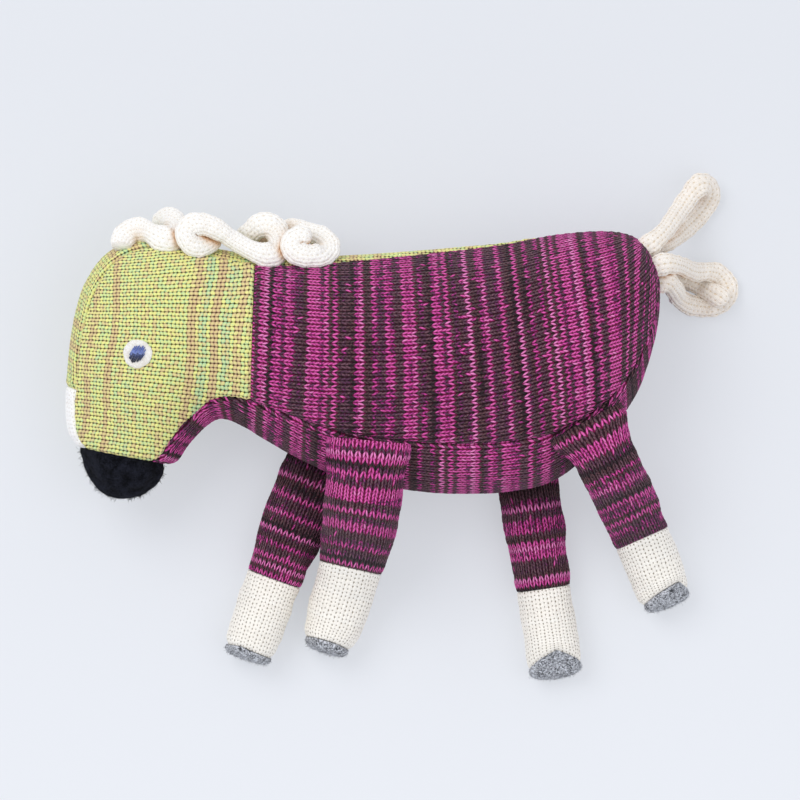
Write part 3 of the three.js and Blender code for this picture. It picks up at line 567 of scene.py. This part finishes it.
def felted(name, dark, light, fibres=1400.0, depth=0.0005, sheen=0.2, clumps=0.3):
    """Felted wool: matted fibres of a few shades in every direction, fibres of them to a metre, which is as
    coarse as they need to be to show, and clumps of six."""
    material, tree, out = new_material(name)
    place = add(tree, "ShaderNodeTexCoord").outputs["Object"]
    mat = add(tree, "ShaderNodeTexNoise", {"Vector": place, "Scale": fibres, "Detail": 4.0,
                                           "Distortion": 1.5})
    clump = add(tree, "ShaderNodeTexNoise", {"Vector": place, "Scale": fibres / 6, "Detail": 2.0})
    tone = add(tree, "ShaderNodeMix", {0: clumps, 2: mat, 3: clump})
    tone = add(tree, "ShaderNodeMapRange", [tone, 0.42, 0.58, 0.0, 1.0])
    colour = add(tree, "ShaderNodeMix", {0: tone, 6: linear(dark), 7: linear(light)}, data_type="RGBA")
    relief = add(tree, "ShaderNodeMath", [clump, 1.5, mat], operation="MULTIPLY_ADD")
    bump = add(tree, "ShaderNodeBump", {"Height": relief, "Distance": depth, "Strength": 0.9})
    rough = add(tree, "ShaderNodeMapRange", [mat, 0.3, 0.7, 0.88, 1.0])
    shader = add(tree, "ShaderNodeBsdfPrincipled", {
        "Base Color": colour.outputs[2], "Roughness": rough, "Normal": bump,
        "Specular IOR Level": 0.05, "Sheen Weight": sheen, "Sheen Roughness": 0.6,
    })
    tree.links.new(shader.outputs[0], out.inputs[0])
    return material


def hairs(feet, ways, random, longest=1.7, radius=0.055):
    """Loose fibres, each a closed thin body, from points on a face about its outward ways."""
    parts = []
    round_ = np.linspace(0, 2 * math.pi, 4, endpoint=False)[None, :, None]
    for foot, out_way in zip(feet, ways):
        way = unit(out_way * random.uniform(0.5, 1.2) + random.normal(size=3) * 0.6)
        curl = random.normal(size=3) * 0.25
        lengths = np.linspace(0, random.uniform(0.35, 1) * longest, 4)[:, None]
        line = foot + way * lengths + curl * lengths**2
        wide = unit(np.cross(way, curl))
        hair = line[:, None] + radius * (np.cos(round_) * wide + np.sin(round_) * np.cross(way, wide))
        parts.append(closed(np.maximum(hair, (-1e3, -1e3, 0))))
    return parts


# Boiled black wool: so matt that only its lumps and its loose fibres show.
black_felt = felted("wool_felt_black", "#04050a", "#23252f", depth=0.001, sheen=0.02, clumps=0.4)

turns = np.linspace(0, 2 * math.pi, 120, endpoint=False)
outward = np.linspace(0.15, cap_edge, 46)[:, None]
inward = np.linspace(cap_edge, 0.5, 14)[:, None]
base = skin(outward, turns)
to_edge = travel(base, 0)[-1:] - travel(base, 0)
depth = 0.9 * np.exp(-(to_edge**2)) - 0.35 * lumps(base, 9, 21) - 0.12 * lumps(base, 2.5, 22)
rings = np.concatenate([skin(outward, turns, depth), skin(inward, turns, cap_thickness)])
random = np.random.default_rng(22)
station = muzzle_station * random.uniform(0.02, 0.97, cap_hairs) ** 0.7
angle = random.uniform(0, 2 * math.pi, cap_hairs)
ways = skin_normal(station, angle)
muzzle_hairs = hairs(skin(station, angle) - 0.2 * ways, ways, random)
muzzle = loft("muzzle_felt", [closed(rings), *muzzle_hairs], black_felt)
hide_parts("muzzle_cap")
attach(muzzle, "torso")

# Stuffing: loose polyester fibre that fills head and body, sealed inside the knit. The fill stays clear of
# the cloth's inner face, and of the other fill at the neck.
fill_depth = 3.1
fills = [  # name, first and last station
    ("head_stuffing", 1.5, neck_station - 0.03),
    ("body_stuffing", neck_station + 0.03, 26.0),
]
# White polyester, carded: an even pale mat.
fibrefill = felted("polyester_fibrefill", "#e4e4e2", "#fbfbfa", fibres=500.0)
turns = np.linspace(0, 2 * math.pi, 40, endpoint=False)
for name, start, end in fills:
    rings = skin(np.linspace(start, end, 30)[:, None], turns, fill_depth)
    fill = loft(name.replace("stuffing", "fibrefill"), [closed(rings)], fibrefill)
    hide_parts(name)
    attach(fill, "torso")


# Tail: soft cotton cord, knitted round in a narrow tube and sewn to the end of the rump. A long loop, a short
# loop below it and one cut end, which sink from the rump to the surface that the toy lies on.
def even(points, spacing):
    """Points at an even spacing along the smooth curve through points."""
    dense = spline(points)(np.linspace(0, 1, 60 * len(points)))
    length = travel(dense, 0)
    marks = np.linspace(0, length[-1], max(int(length[-1] / spacing), 2) + 1)
    path = np.stack([np.interp(marks, length, dense[:, i]) for i in range(3)], 1)
    for _ in range(20):
        path[1:-1] = (path[:-2] + 2 * path[1:-1] + path[2:]) / 4
    return path


def cord_body(points, width, wales=6, course=2.3, relief=0.3, sides=48, spacing=0.55, blunt=False,
              spread=0.3, flat=1.0):
    """A hollow knitted tube along points, its stitches standing out, and its path. Lying on its side it is
    flat times wider than high, and spread more where it bends. blunt rounds its far end."""
    path = even(points, spacing)
    ahead = unit(np.gradient(path, axis=0))
    across = np.zeros_like(path)
    way = np.array([0.0, 0.0, 1.0])
    for i, forward in enumerate(ahead):
        way = way + (0, 0, 0.3)
        way = unit(way - forward * (way @ forward))
        across[i] = way
    up = np.cross(ahead, across)
    turn = np.linspace(0, 2 * math.pi, sides + 1)
    run = np.arange(len(path)) * spacing
    wale = np.broadcast_to(wales * turn / (2 * math.pi), (len(path), sides + 1))
    knit = np.stack([wale, np.broadcast_to(run[:, None] / course, wale.shape)], -1)
    radius = width / 2 + relief * (stitches(knit[..., 0], knit[..., 1]) - 0.8)
    uneven = 1 + 0.025 * np.sin(run / 4.1 + 1) + 0.02 * np.sin(run / 1.9)    # thick and thin places
    radius = radius * uneven[:, None]
    if blunt:
        radius = radius * np.sqrt(np.clip((run[-1] - run + 0.3) / (0.4 * width), 0, 1))[:, None]
    bend = np.linalg.norm(np.gradient(ahead, spacing, axis=0), axis=1)
    wide = flat + spread * np.convolve(np.minimum(bend * width, 1), np.ones(11) / 11, mode="same")[:, None]
    ring = path[:, None] + (radius * np.cos(turn) / wide**0.8)[..., None] * across[:, None]
    ring = ring + (radius * np.sin(turn) * wide)[..., None] * up[:, None]
    ring = ring + (ring - path[:, None]) * 0.05 * lumps(ring, 6, 51)[..., None]
    ring[..., 2] = np.maximum(ring[..., 2], 0)
    ring[:, -1] = ring[:, 0]
    return closed(ring[:, :-1], knit), path


# Unbleached cotton: matt and warm, with painted shade, brown in tint, where a loop folds on itself, and faint
# painted shade between the legs.
tail_knit = knitted("cotton_cord_ecru", [
    (0.0, "#f0e5d5"), (1.0, "#fbf6ed"), (0.5, "#f7efe3"),
], "#ece1cd", length=0.7, width=0.52, splay=0.34, close=0.03, deep=(0.0, 0.4), fold="#deb384")

tail_width = 7.2
rump_end = oval(tail_station, 0.0)
tail_cords = {  # places where it is sewn on, as station and degrees, and the route between in cord widths
    "tail_long_loop": [(26.2, 18), (26.5, -30), [
        (1.1, 1.15, -0.3), (1.65, 1.85, -1.3), (2.1, 2.5, -2.15), (2.48, 3.05, -2.6), (2.83, 3.55, -2.75),
        (3.17, 3.97, -2.8), (3.58, 4.22, -3.05), (3.93, 4.15, -3.55), (4.12, 3.8, -4.05), (4.08, 3.25, -4.38),
        (3.78, 2.7, -4.45), (3.33, 2.15, -4.4), (2.75, 1.55, -4.0), (2.15, 1.05, -3.2), (1.55, 0.65, -2.2),
        (0.95, 0.4, -1.3),
    ]],
    "tail_short_loop": [(26.5, 135), (26.0, 170), [
        (1.5, -0.85, 0.7), (2.1, -0.95, -0.4), (2.65, -1.15, -1.7), (3.2, -1.3, -2.8), (3.85, -1.28, -3.5),
        (4.5, -1.38, -4.15), (5.0, -1.8, -4.42), (5.25, -2.4, -4.45), (5.05, -3.0, -4.45), (4.5, -3.4, -4.45),
        (3.7, -3.5, -4.45), (3.0, -3.4, -4.2), (2.45, -3.15, -3.6), (2.1, -2.9, -2.8), (1.95, -2.65, -1.9),
        (1.8, -2.45, -1.0),
    ]],
    "tail_cut_end": [(26.4, -150), None, [
        (1.3, -1.35, -1.9), (1.5, -1.45, -2.9), (1.85, -1.55, -3.8), (2.4, -1.7, -4.35), (3.0, -1.85, -4.45),
        (3.6, -2.15, -4.4), (4.1, -2.5, -3.9), (4.6, -2.8, -3.38), (5.0, -3.1, -3.3), (5.2, -3.25, -3.3),
    ]],
}


def off_skin(place):
    """Two points on a cord's way out through the skin."""
    station, angle = place[0], math.radians(place[1])
    return [skin(station, angle) + skin_normal(station, angle) * lift for lift in (-2.5, 3.6)]


for name, (start, end, route) in tail_cords.items():
    points = off_skin(start) + [np.array(point) * tail_width + rump_end for point in route]
    points += off_skin(end)[::-1] if end else []
    body, path = cord_body(points, tail_width, blunt=not end, flat=1.15)
    piece = loft(name.replace("tail", "tail_cord"), [body], tail_knit)
    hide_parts(name)
    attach(piece, "torso")
    float(travel(path, 0)[-1] / 1000)

# Mane: one length of such a cord, whiter, bunched into loops and sewn down along the crest of the neck. The
# stitches that hold it squash it a little wider than the cord is by itself.
mane_width, squashed_width = 6.8, 8.1
mane_route = [  # in cord widths from the crest at the neck seam
    (-8.85, 0.55, 1.9), (-8.75, 1.1, 1.5), (-8.3, 1.6, 1.2), (-7.8, 1.75, 1.1), (-7.3, 1.65, 1.35),
    (-6.9, 1.5, 1.8), (-6.4, 1.2, 2.25), (-5.85, 1.0, 2.4), (-5.4, 1.1, 2.1), (-5.15, 1.5, 1.55),
    (-5.15, 2.0, 0.9), (-5.5, 2.4, 0.2), (-6.0, 2.4, -0.5), (-6.2, 2.0, -1.05), (-5.8, 1.65, -1.4),
    (-5.05, 1.6, -1.4), (-4.35, 1.75, -1.0), (-3.7, 1.9, -0.5), (-3.15, 1.75, 0.1), (-2.9, 1.35, 0.75),
    (-3.0, 0.95, 1.5), (-3.5, 0.7, 2.2), (-4.1, 0.75, 2.55), (-4.5, 1.15, 2.7), (-4.5, 1.65, 2.7),
    (-4.1, 2.0, 2.65), (-3.5, 2.05, 2.55), (-2.75, 1.85, 2.45), (-2.05, 1.4, 2.3), (-1.3, 0.9, 2.2),
    (-0.5, 0.45, 2.25), (0.3, 0.1, 2.35), (1.0, 0.0, 2.3), (1.45, 0.3, 1.9), (1.6, 0.85, 1.4),
    (1.45, 1.5, 1.0), (0.95, 2.0, 0.9), (0.3, 2.0, 0.8), (-0.25, 1.6, 0.5), (-0.6, 1.15, 0.0),
    (-0.35, 0.8, -0.55), (0.3, 0.85, -0.75), (1.0, 1.15, -0.75), (1.75, 1.6, -0.6), (2.6, 1.8, -0.3),
    (3.4, 1.6, 0.0), (4.2, 1.3, 0.3), (4.75, 0.75, 0.9), (4.75, 0.25, 1.6), (4.25, 0.0, 2.15),
    (3.55, -0.05, 2.4), (2.85, 0.1, 2.5), (2.4, 0.55, 2.45), (2.55, 1.05, 2.3), (3.1, 1.2, 2.15),
    (3.65, 1.0, 2.05),
]
# Bleached cotton: as the tail's, but nearly white, with the same painted shade in its folds and between the
# legs.
cord_knit = knitted("cotton_cord_cream", [
    (0.0, "#f8f3ea"), (1.0, "#fdfbf7"), (0.5, "#fbf8f1"),
], "#f2ebdd", length=0.68, width=0.56, splay=0.3, close=0.02, deep=(0.0, 0.36), fold="#e6bd8e")
crest_point = oval(neck_station, 0.0)
mane_path = [np.array(point) * mane_width + crest_point for point in mane_route]
body, path = cord_body(mane_path, squashed_width, wales=8, course=2.0, blunt=True, spread=0.45)
mane = loft("mane_knitted_cord", [body], cord_knit)
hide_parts("mane_cord")
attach(mane, "torso")

# Eyes: a punched disc of white felt on each cheek, with a small irregular patch of blue satin stitch on it.
# Sizes in millimetres.
eye_x, eye_y = -0.612 * head_reach + frame_shift[0], 0.064 * head_height + frame_shift[1]
eye_radius = 6.4
disc_profile = [  # share of the radius and height over the cheek, from the back to the middle of the face
    (0.3, 0.3), (0.97, 0.25), (1.0, 0.6), (0.985, 1.1), (0.93, 1.42), (0.82, 1.52), (0.5, 1.5), (0.2, 1.5),
]
thread_radius, thread_count = 0.24, 17
patch_width, patch_length, patch_lean = 5.2, 7.8, 59
patch_limit = 3.0                               # half width at which its threads would have no length


def over_point(x, y):
    """Station and angle of the left side's skin over points of the side view, in the row frame."""
    low, high = np.full_like(x, muzzle_station), np.full_like(x, neck_station)

    def ruling(station):
        s = section(station)
        middle_x, middle_y = (s[..., 0] + s[..., 2]) / 2, (s[..., 1] + s[..., 3]) / 2
        up_x, up_y = (s[..., 0] - s[..., 2]) / 2, (s[..., 1] - s[..., 3]) / 2
        off_x, off_y = x - frame_shift[0] - middle_x, y - frame_shift[1] - middle_y
        return off_x * up_y - off_y * up_x, (off_x * up_x + off_y * up_y) / (up_x**2 + up_y**2)

    start = ruling(low)[0]
    for _ in range(30):
        half = (low + high) / 2
        same = ruling(half)[0] * start > 0
        low, high = np.where(same, half, low), np.where(same, high, half)
    return low, np.arccos(np.clip(ruling(low)[1], -1, 1))


def on_cheek(x, y, lift, sign):
    """Points on or over a cheek, from the eye's middle."""
    station, angle = over_point(eye_x + x, eye_y + y)
    return skin(station, sign * angle, -np.asarray(lift))


# White wool felt: matt, with a faint grain.
white_felt = felted("wool_felt_white", "#eae4d8", "#fbf9f4")

# Stranded cotton in satin stitch: a slight sheen, and darker towards the patch's lower edge.
thread_blue, tree, out = new_material("satin_stitch_blue")
place = add(tree, "ShaderNodeTexCoord").outputs["Generated"]
height = add(tree, "ShaderNodeSeparateXYZ", [place]).outputs[1]
tone = add(tree, "ShaderNodeTexNoise", {"Vector": place, "Scale": 7.0, "Detail": 2.0})
tone = add(tree, "ShaderNodeMath", [tone, 0.7, height], operation="MULTIPLY_ADD")
ramp = add(tree, "ShaderNodeValToRGB", [tone])
for i, (share, code) in enumerate([(0.45, "#1f2436"), (1.0, "#8c9fdc"), (0.78, "#35416a"), (1.0, "#5d70b2")]):
    stop = ramp.color_ramp.elements[i] if i < 2 else ramp.color_ramp.elements.new(share)
    stop.position, stop.color = share, linear(code)
strand = add(tree, "ShaderNodeTexNoise", {"Vector": place, "Scale": 60.0, "Detail": 1.0})
bump = add(tree, "ShaderNodeBump", {"Height": strand, "Distance": 0.0001, "Strength": 0.8})
shader = add(tree, "ShaderNodeBsdfPrincipled", {
    "Base Color": ramp, "Roughness": 0.55, "Normal": bump, "Sheen Weight": 0.2,
})
tree.links.new(shader.outputs[0], out.inputs[0])

for side, sign in both_sides:
    turn = np.linspace(0, 2 * math.pi, 72, endpoint=False)
    wander = 1 + 0.02 * np.sin(3 * turn + 1) + 0.012 * np.sin(7 * turn) + 0.01 * np.sin(17 * turn)
    rings = []
    for reach, lift in disc_profile:
        x, y = eye_radius * reach * wander * np.cos(turn), eye_radius * reach * wander * np.sin(turn)
        rings.append(on_cheek(x, y, np.full_like(x, lift), sign))
    disc = loft(f"{side}_eye_disc", [closed(np.array(rings))], white_felt)
    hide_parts(f"{side}_eye_felt")
    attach(disc, "torso")

    threads = []
    random = np.random.default_rng(31 + sign)
    for offset in np.linspace(-patch_width / 2, patch_width / 2, thread_count):
        half = patch_length / 2 * math.sqrt(max(1 - (offset / patch_limit) ** 2, 0.05))
        half = half * random.uniform(0.8, 1.12)
        lean = math.radians(patch_lean + random.uniform(-7, 7))
        shift = random.uniform(-0.3, 0.3) + 0.12 * offset
        run = np.linspace(-half, half, 15) + shift
        x = run * math.cos(lean) + offset * math.sin(lean)
        y = run * math.sin(lean) - offset * math.cos(lean)
        arch = 1.65 + 0.55 * np.sqrt(np.clip(1 - ((run - shift) / half) ** 2, 0, 1)) + random.uniform(0, 0.2)
        centre = on_cheek(x, y, arch, sign)
        beside = on_cheek(x + 0.1 * math.sin(lean), y - 0.1 * math.cos(lean), arch, sign)
        wide = unit(beside - centre)
        high = unit(np.cross(wide, np.gradient(centre, axis=0)))
        round_ = np.linspace(0, 2 * math.pi, 8, endpoint=False)
        tube = centre[:, None] + thread_radius * np.cos(round_)[None, :, None] * wide[:, None]
        threads.append(closed(tube + thread_radius * np.sin(round_)[None, :, None] * high[:, None]))
    stitched = loft(f"{side}_eye_stitches", threads, thread_blue)
    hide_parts(f"{side}_eye_pupil")
    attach(stitched, "torso")

# Legs: a knitted sleeve whose flat top edge is sewn into a side seam, a cream sock knitted on to it and a
# felt sole, over stuffing. The left legs come down over the belly to rest on their feet; the right legs lie
# flat. Sizes in millimetres, or as shares of the leg's length and width.
leg_length, leg_width = 108.0, 37.0
hem_thickness, leg_round, rest_flat = 3.6, 26.0, 0.5
hem_lift = 2.4                                  # of the sewn edge's middle off the seam
sleeve_wale, sleeve_course, sleeve_cloth = 2.85, 2.0, 1.4
sock_wale, sock_course, sock_cloth = 3.6, 1.9, 2.0
sleeve_half, sock_half = 13.0, 12.5             # half thickness where their stitches are counted
sole_thickness = 2.0
sleeve_pitch, sock_pitch = 0.5, 0.45            # distance between rings of points
hem_share, foot_start = 0.2, 0.75               # the hem turns round above the one, the foot below the other
inner_start, bend_end = 0.09, 0.14              # where the sleeve's hollow begins and where it stops bending
sole_profile = [  # share of the width, and bulge past the leg's end
    (0.93, 0.8), (0.84, 1.5), (0.7, 2.0), (0.5, 2.3), (0.25, 2.4),
]
Leg = namedtuple("Leg", "name side station lean tilt sleeve length top knee sock sole bow peak rise first")
leg_shares = [
    # name, side, station of the seam, lean, turn of the foot, share of its length that is sleeve, length,
    # width at top, knee, sock and sole, bow towards the tail, then where the sole's upper edge peaks and how
    # high, and the course of the yarn's stripes at which the leg starts
    ("front_left", 1, neck_station + 2.58, -11.8, 4, 0.605, 0.89,
     1, 0.93, 0.745, 0.54, 0.095, 0.3, 0.5, 74),
    ("front_right", -1, neck_station + 1.9, -21.3, 6, 0.66, 1,
     0.95, 0.84, 0.665, 0.59, -0.045, -0.4, 1.5, 37),
    ("hind_left", 1, neck_station + 6.75, 25, 7, 0.655, 0.836,
     0.97, 0.735, 0.68, 0.58, 0.05, 0.75, 4.0, 111),
    ("hind_right", -1, neck_station + 5.35, 8.5, 22, 0.64, 0.967,
     0.84, 0.73, 0.645, 0.665, 0, 0.15, 5.0, 148),
]
legs = []
for leg in leg_shares:
    widths = [share * leg_width for share in leg[7:12]]
    legs.append(Leg(*leg[:6], leg[6] * leg_length, *widths, *leg[12:]))
leg_shape = spline([  # share of the length, then how far from sock to knee width, from hem to full thickness
    # and from the seam down to the surface
    (0.00, 1.00, 0.00, 0.00), (0.04, 0.97, 0.10, 0.00), (0.10, 0.95, 0.27, 0.015), (0.20, 1.00, 0.66, 0.07),
    (0.30, 0.97, 0.96, 0.19), (0.40, 0.80, 1.00, 0.37), (0.50, 0.50, 1.00, 0.57), (0.60, 0.12, 0.98, 0.755),
    (0.70, 0.00, 1.02, 0.89), (0.80, 0.00, 1.02, 0.965), (0.90, 0.00, 1.00, 1.00), (1.00, 0.00, 0.90, 1.00),
])
leg_steps = np.linspace(0, 1, 4000)
leg_marks = leg_shape(leg_steps)[:, 0]
# Undyed wool in plain knit: pale, with a small soft hole in each stitch, darkened by painted shade.
cream_knit = knitted("wool_knit_cream", [
    (0.0, "#f8f2e6"), (1.0, "#fffcf3"), (0.5, "#fef9ee"),
], "#8a806e", length=0.64, width=0.55, splay=0.2, close=0.02, deep=(0.0, 0.3))
# Felt of black and white wool, mixed: a fine dark and pale speckle.
grey_felt = felted("wool_felt_grey_heather", "#26282e", "#dde0e5", fibres=1000.0, clumps=0.1)


def hinge_line(leg):
    """The middle of a leg's sewn edge and the seam's direction there."""
    ends = [skin(leg.station + step, leg.side * seam_angle(leg.station + step)) for step in (-0.5, 0.5)]
    angle = leg.side * seam_angle(leg.station)
    origin = skin(leg.station, angle) + skin_normal(leg.station, angle) * hem_lift
    return origin, unit(ends[1] - ends[0])


def leg_frame(leg, share):
    """Centre, half width, half thickness and the three directions of a leg's sections."""
    origin, direction = hinge_line(leg)
    lean = math.radians(leg.lean)
    heading = np.array([math.sin(lean), -math.cos(lean), 0.0])
    across = np.array([math.cos(lean), math.sin(lean), 0.0])

    def place(at):
        shape = leg_shape(np.interp(at, leg_marks, leg_steps))
        toe = (np.maximum(at - leg.sleeve, 0) / (1 - leg.sleeve)) ** 4
        half_width = (leg.sock + (leg.knee - leg.sock) * shape[:, 1] + (leg.sole - leg.sock) * toe) / 2
        half_round = (hem_thickness + (leg_round - hem_thickness) * shape[:, 2]) / 2
        hem = np.maximum(1 - at / hem_share, 0) ** 2
        bow = leg.bow * np.sin(math.pi * at)
        centre = origin + heading * (at * leg.length)[:, None] + across * bow[:, None]
        if leg.side > 0:
            centre[:, 2] = origin[2] + (leg_round / 2 - rest_flat - origin[2]) * shape[:, 3]
        else:
            centre[:, 2] = half_round - rest_flat + (origin[2] - hem_thickness / 2 + rest_flat) * hem
        half_width = half_width + (leg.top / 2 - half_width) * np.minimum(hem * 2, 1)
        return centre, half_width, half_round, hem

    centre, half_width, half_round, hem = place(share)
    along = unit(place(np.minimum(share + 0.01, 1))[0] - place(np.maximum(share - 0.01, 0))[0])
    wide = across + (direction - across) * hem[:, None]
    wide = unit(wide - along * (wide * along).sum(1)[:, None])
    up = unit(np.cross(wide, along))
    up = up * np.where(up[:, 2] < 0, -1, 1)[:, None]
    turned = np.clip((share - foot_start) / (1 - foot_start), 0, 1)
    turned = math.radians(leg.tilt) * turned**2 * (3 - 2 * turned)
    up = up * np.cos(turned)[:, None] - along * np.sin(turned)[:, None]
    return centre, half_width, half_round, along, wide, up


def leg_rings(leg, share, turn, depth=0.0, shrink=1.0, push=0.0, floor=0.0):
    """Oval rings of a leg, at a depth under its face. shrink makes them smaller, push moves their points
    along the leg, and floor is the lowest height."""
    share = np.atleast_1d(np.asarray(share, float))
    centre, half_width, half_round, along, wide, up = leg_frame(leg, share)
    size = (len(share), len(turn))
    depth, shrink, push = (np.broadcast_to(np.asarray(v, float), size) for v in (depth, shrink, push))
    steep = -along[:, 2] / np.hypot(along[:, 0], along[:, 1])
    level = steep * half_round * np.interp(share, [0.08, 0.3, 0.8, 0.97], [0, 1, 1, 0])
    x, y = shrink * np.cos(turn), shrink * np.sin(turn)
    roof = np.minimum((1 + x) / (1 + leg.peak), (1 - x) / (1 - leg.peak))
    roof = leg.rise * roof * np.clip(y / 0.6, 0, 1)
    push = push - level[:, None] * y - roof * np.exp(-(((1 - share) / 0.07) ** 2))[:, None]
    half_width, half_round = half_width[:, None] - depth, np.maximum(half_round[:, None] - depth, 0.36)
    out = centre[:, None] + along[:, None] * push[..., None]
    out = out + wide[:, None] * (shrink * half_width * np.cos(turn))[..., None]
    out = out + up[:, None] * (shrink * half_round * np.sin(turn))[..., None]
    out[..., 2] = np.maximum(out[..., 2], floor)
    return out


def round_knit(wales, courses):
    """Knit coordinates of rings with a number of wales round them, at the courses of each ring."""
    loops = np.linspace(0, 1, 8 * wales + 1) * wales
    return np.stack(np.broadcast_arrays(loops[None, :], courses[:, None]), -1)


for number, leg in enumerate(legs):
    gap, sole_share = seam_gap / leg.length, 1 - sole_thickness / leg.length

    # Sleeve: ruffled at its sewn edge, lumpy below and drawn in a little where the sock starts.
    wales = round(math.pi * (leg.knee / 2 + sleeve_half) / sleeve_wale)
    turn = np.linspace(0, 2 * math.pi, 8 * wales, endpoint=False)
    share = np.linspace(0, leg.sleeve - gap, int(leg.sleeve * leg.length / sleeve_pitch))
    base = leg_rings(leg, share, turn)
    knit = round_knit(wales, leg.first + share * leg.length / sleeve_course)
    s = share[:, None]
    depth = 0.45 * np.sin(9 * turn + 3 * number + 4 * s) * np.exp(-s / 0.10)
    depth = depth - 0.45 * lumps(base, 17, 60 + number) - 0.15 * lumps(base, 6, 70 + number)
    depth = depth * np.clip(s / 0.03, 0, 1) * np.clip((leg.sleeve - s) / 0.04, 0, 1)
    depth = depth + 0.3 * np.exp(-(((leg.sleeve - s) * leg.length / 1.2) ** 2))
    depth = depth - 0.35 * stitches(knit[:, :-1, 0], knit[:, :-1, 1], 0.8, 0.36, 0.34)
    inside = np.linspace(leg.sleeve - gap, inner_start, 14)
    rings = [leg_rings(leg, share, turn, depth), leg_rings(leg, inside, turn, sleeve_cloth, floor=0.9)]
    knit = [knit, round_knit(wales, leg.first + inside * leg.length / sleeve_course)]
    body = closed(np.concatenate(rings), np.concatenate(knit))
    sleeve = loft(f"{leg.name}_sleeve_knit", [body], magenta_knit)
    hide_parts(f"{leg.name}_sleeve")
    origin, _ = hinge_line(leg)
    down = leg_frame(leg, np.array([bend_end]))[0][0]
    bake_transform(sleeve)

    # Sock: a tube that is drawn in at the sleeve and, more, at the sole.
    wales = round(math.pi * (leg.sock / 2 + sock_half) / sock_wale)
    turn = np.linspace(0, 2 * math.pi, 8 * wales, endpoint=False)
    rows = int((1 - leg.sleeve) * leg.length / sock_pitch)
    share = np.linspace(leg.sleeve + gap, sole_share - gap, rows)
    base = leg_rings(leg, share, turn)
    knit = round_knit(wales, share * leg.length / sock_course)
    s = share[:, None]
    depth = -0.35 * lumps(base, 14, 80 + number) - 0.12 * lumps(base, 5, 90 + number)
    depth = depth * np.clip((s - leg.sleeve) / 0.03, 0, 1)
    depth = depth - 0.22 * stitches(knit[:, :-1, 0], knit[:, :-1, 1], 0.66, 0.55, 0.24, 0.03)
    depth = depth + 1.1 * np.exp(-(((sole_share - s) * leg.length / 1.5) ** 2))
    depth = depth + 0.2 * np.exp(-(((s - leg.sleeve) * leg.length) ** 2))
    inside = np.linspace(sole_share - gap, leg.sleeve + gap, 12)
    rings = [leg_rings(leg, share, turn, depth), leg_rings(leg, inside, turn, sock_cloth, floor=1.0)]
    knit = [knit, round_knit(wales, inside * leg.length / sock_course)]
    body = closed(np.concatenate(rings), np.concatenate(knit), looped=True)
    piece = loft(f"{leg.name}_sock_knit", [body], cream_knit)
    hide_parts(f"{leg.name}_sock")
    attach(piece, f"{leg.name}_leg")

    # Sole: a pad that bulges past the sock's end, with loose fibres on every other point.
    turn = np.linspace(0, 2 * math.pi, 96, endpoint=False)
    side_rings = [(sole_share + gap, 0.9, 0), (sole_share + gap, 0.965, 0), (0.993, 0.99, 0), (1, 0.975, 0)]
    rings = []
    for share, shrink, push in side_rings + [(1, *row) for row in sole_profile]:
        rings.append(leg_rings(leg, share, turn, 0, shrink, push)[0])
    rings = np.array(rings)
    forward = leg_frame(leg, np.array([1.0]))[3][0]
    rings = rings + 0.15 * lumps(rings, 2.2, 40 + number)[..., None] * forward
    rings[..., 2] = np.maximum(rings[..., 2], 0)
    feet = rings[2:].reshape(-1, 3)[:: 2]
    random = np.random.default_rng(140 + number)
    sole_hairs = hairs(feet, unit(unit(feet - rings[:2].mean((0, 1))) + forward), random, 1.2, 0.045)
    sole = loft(f"{leg.name}_sole_felt", [closed(rings), *sole_hairs], grey_felt)
    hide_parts(f"{leg.name}_sole")
    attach(sole, f"{leg.name}_leg")

    # Stuffing, clear of the cloth all round.
    share = np.linspace(inner_start + 2.8 / leg.length, sole_share - gap, 30)
    rings = leg_rings(leg, share, turn[::3], 2.4, floor=1.8)
    fill = loft(f"{leg.name}_fibrefill", [closed(rings)], fibrefill)
    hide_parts(f"{leg.name}_stuffing")
    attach(fill, f"{leg.name}_leg")
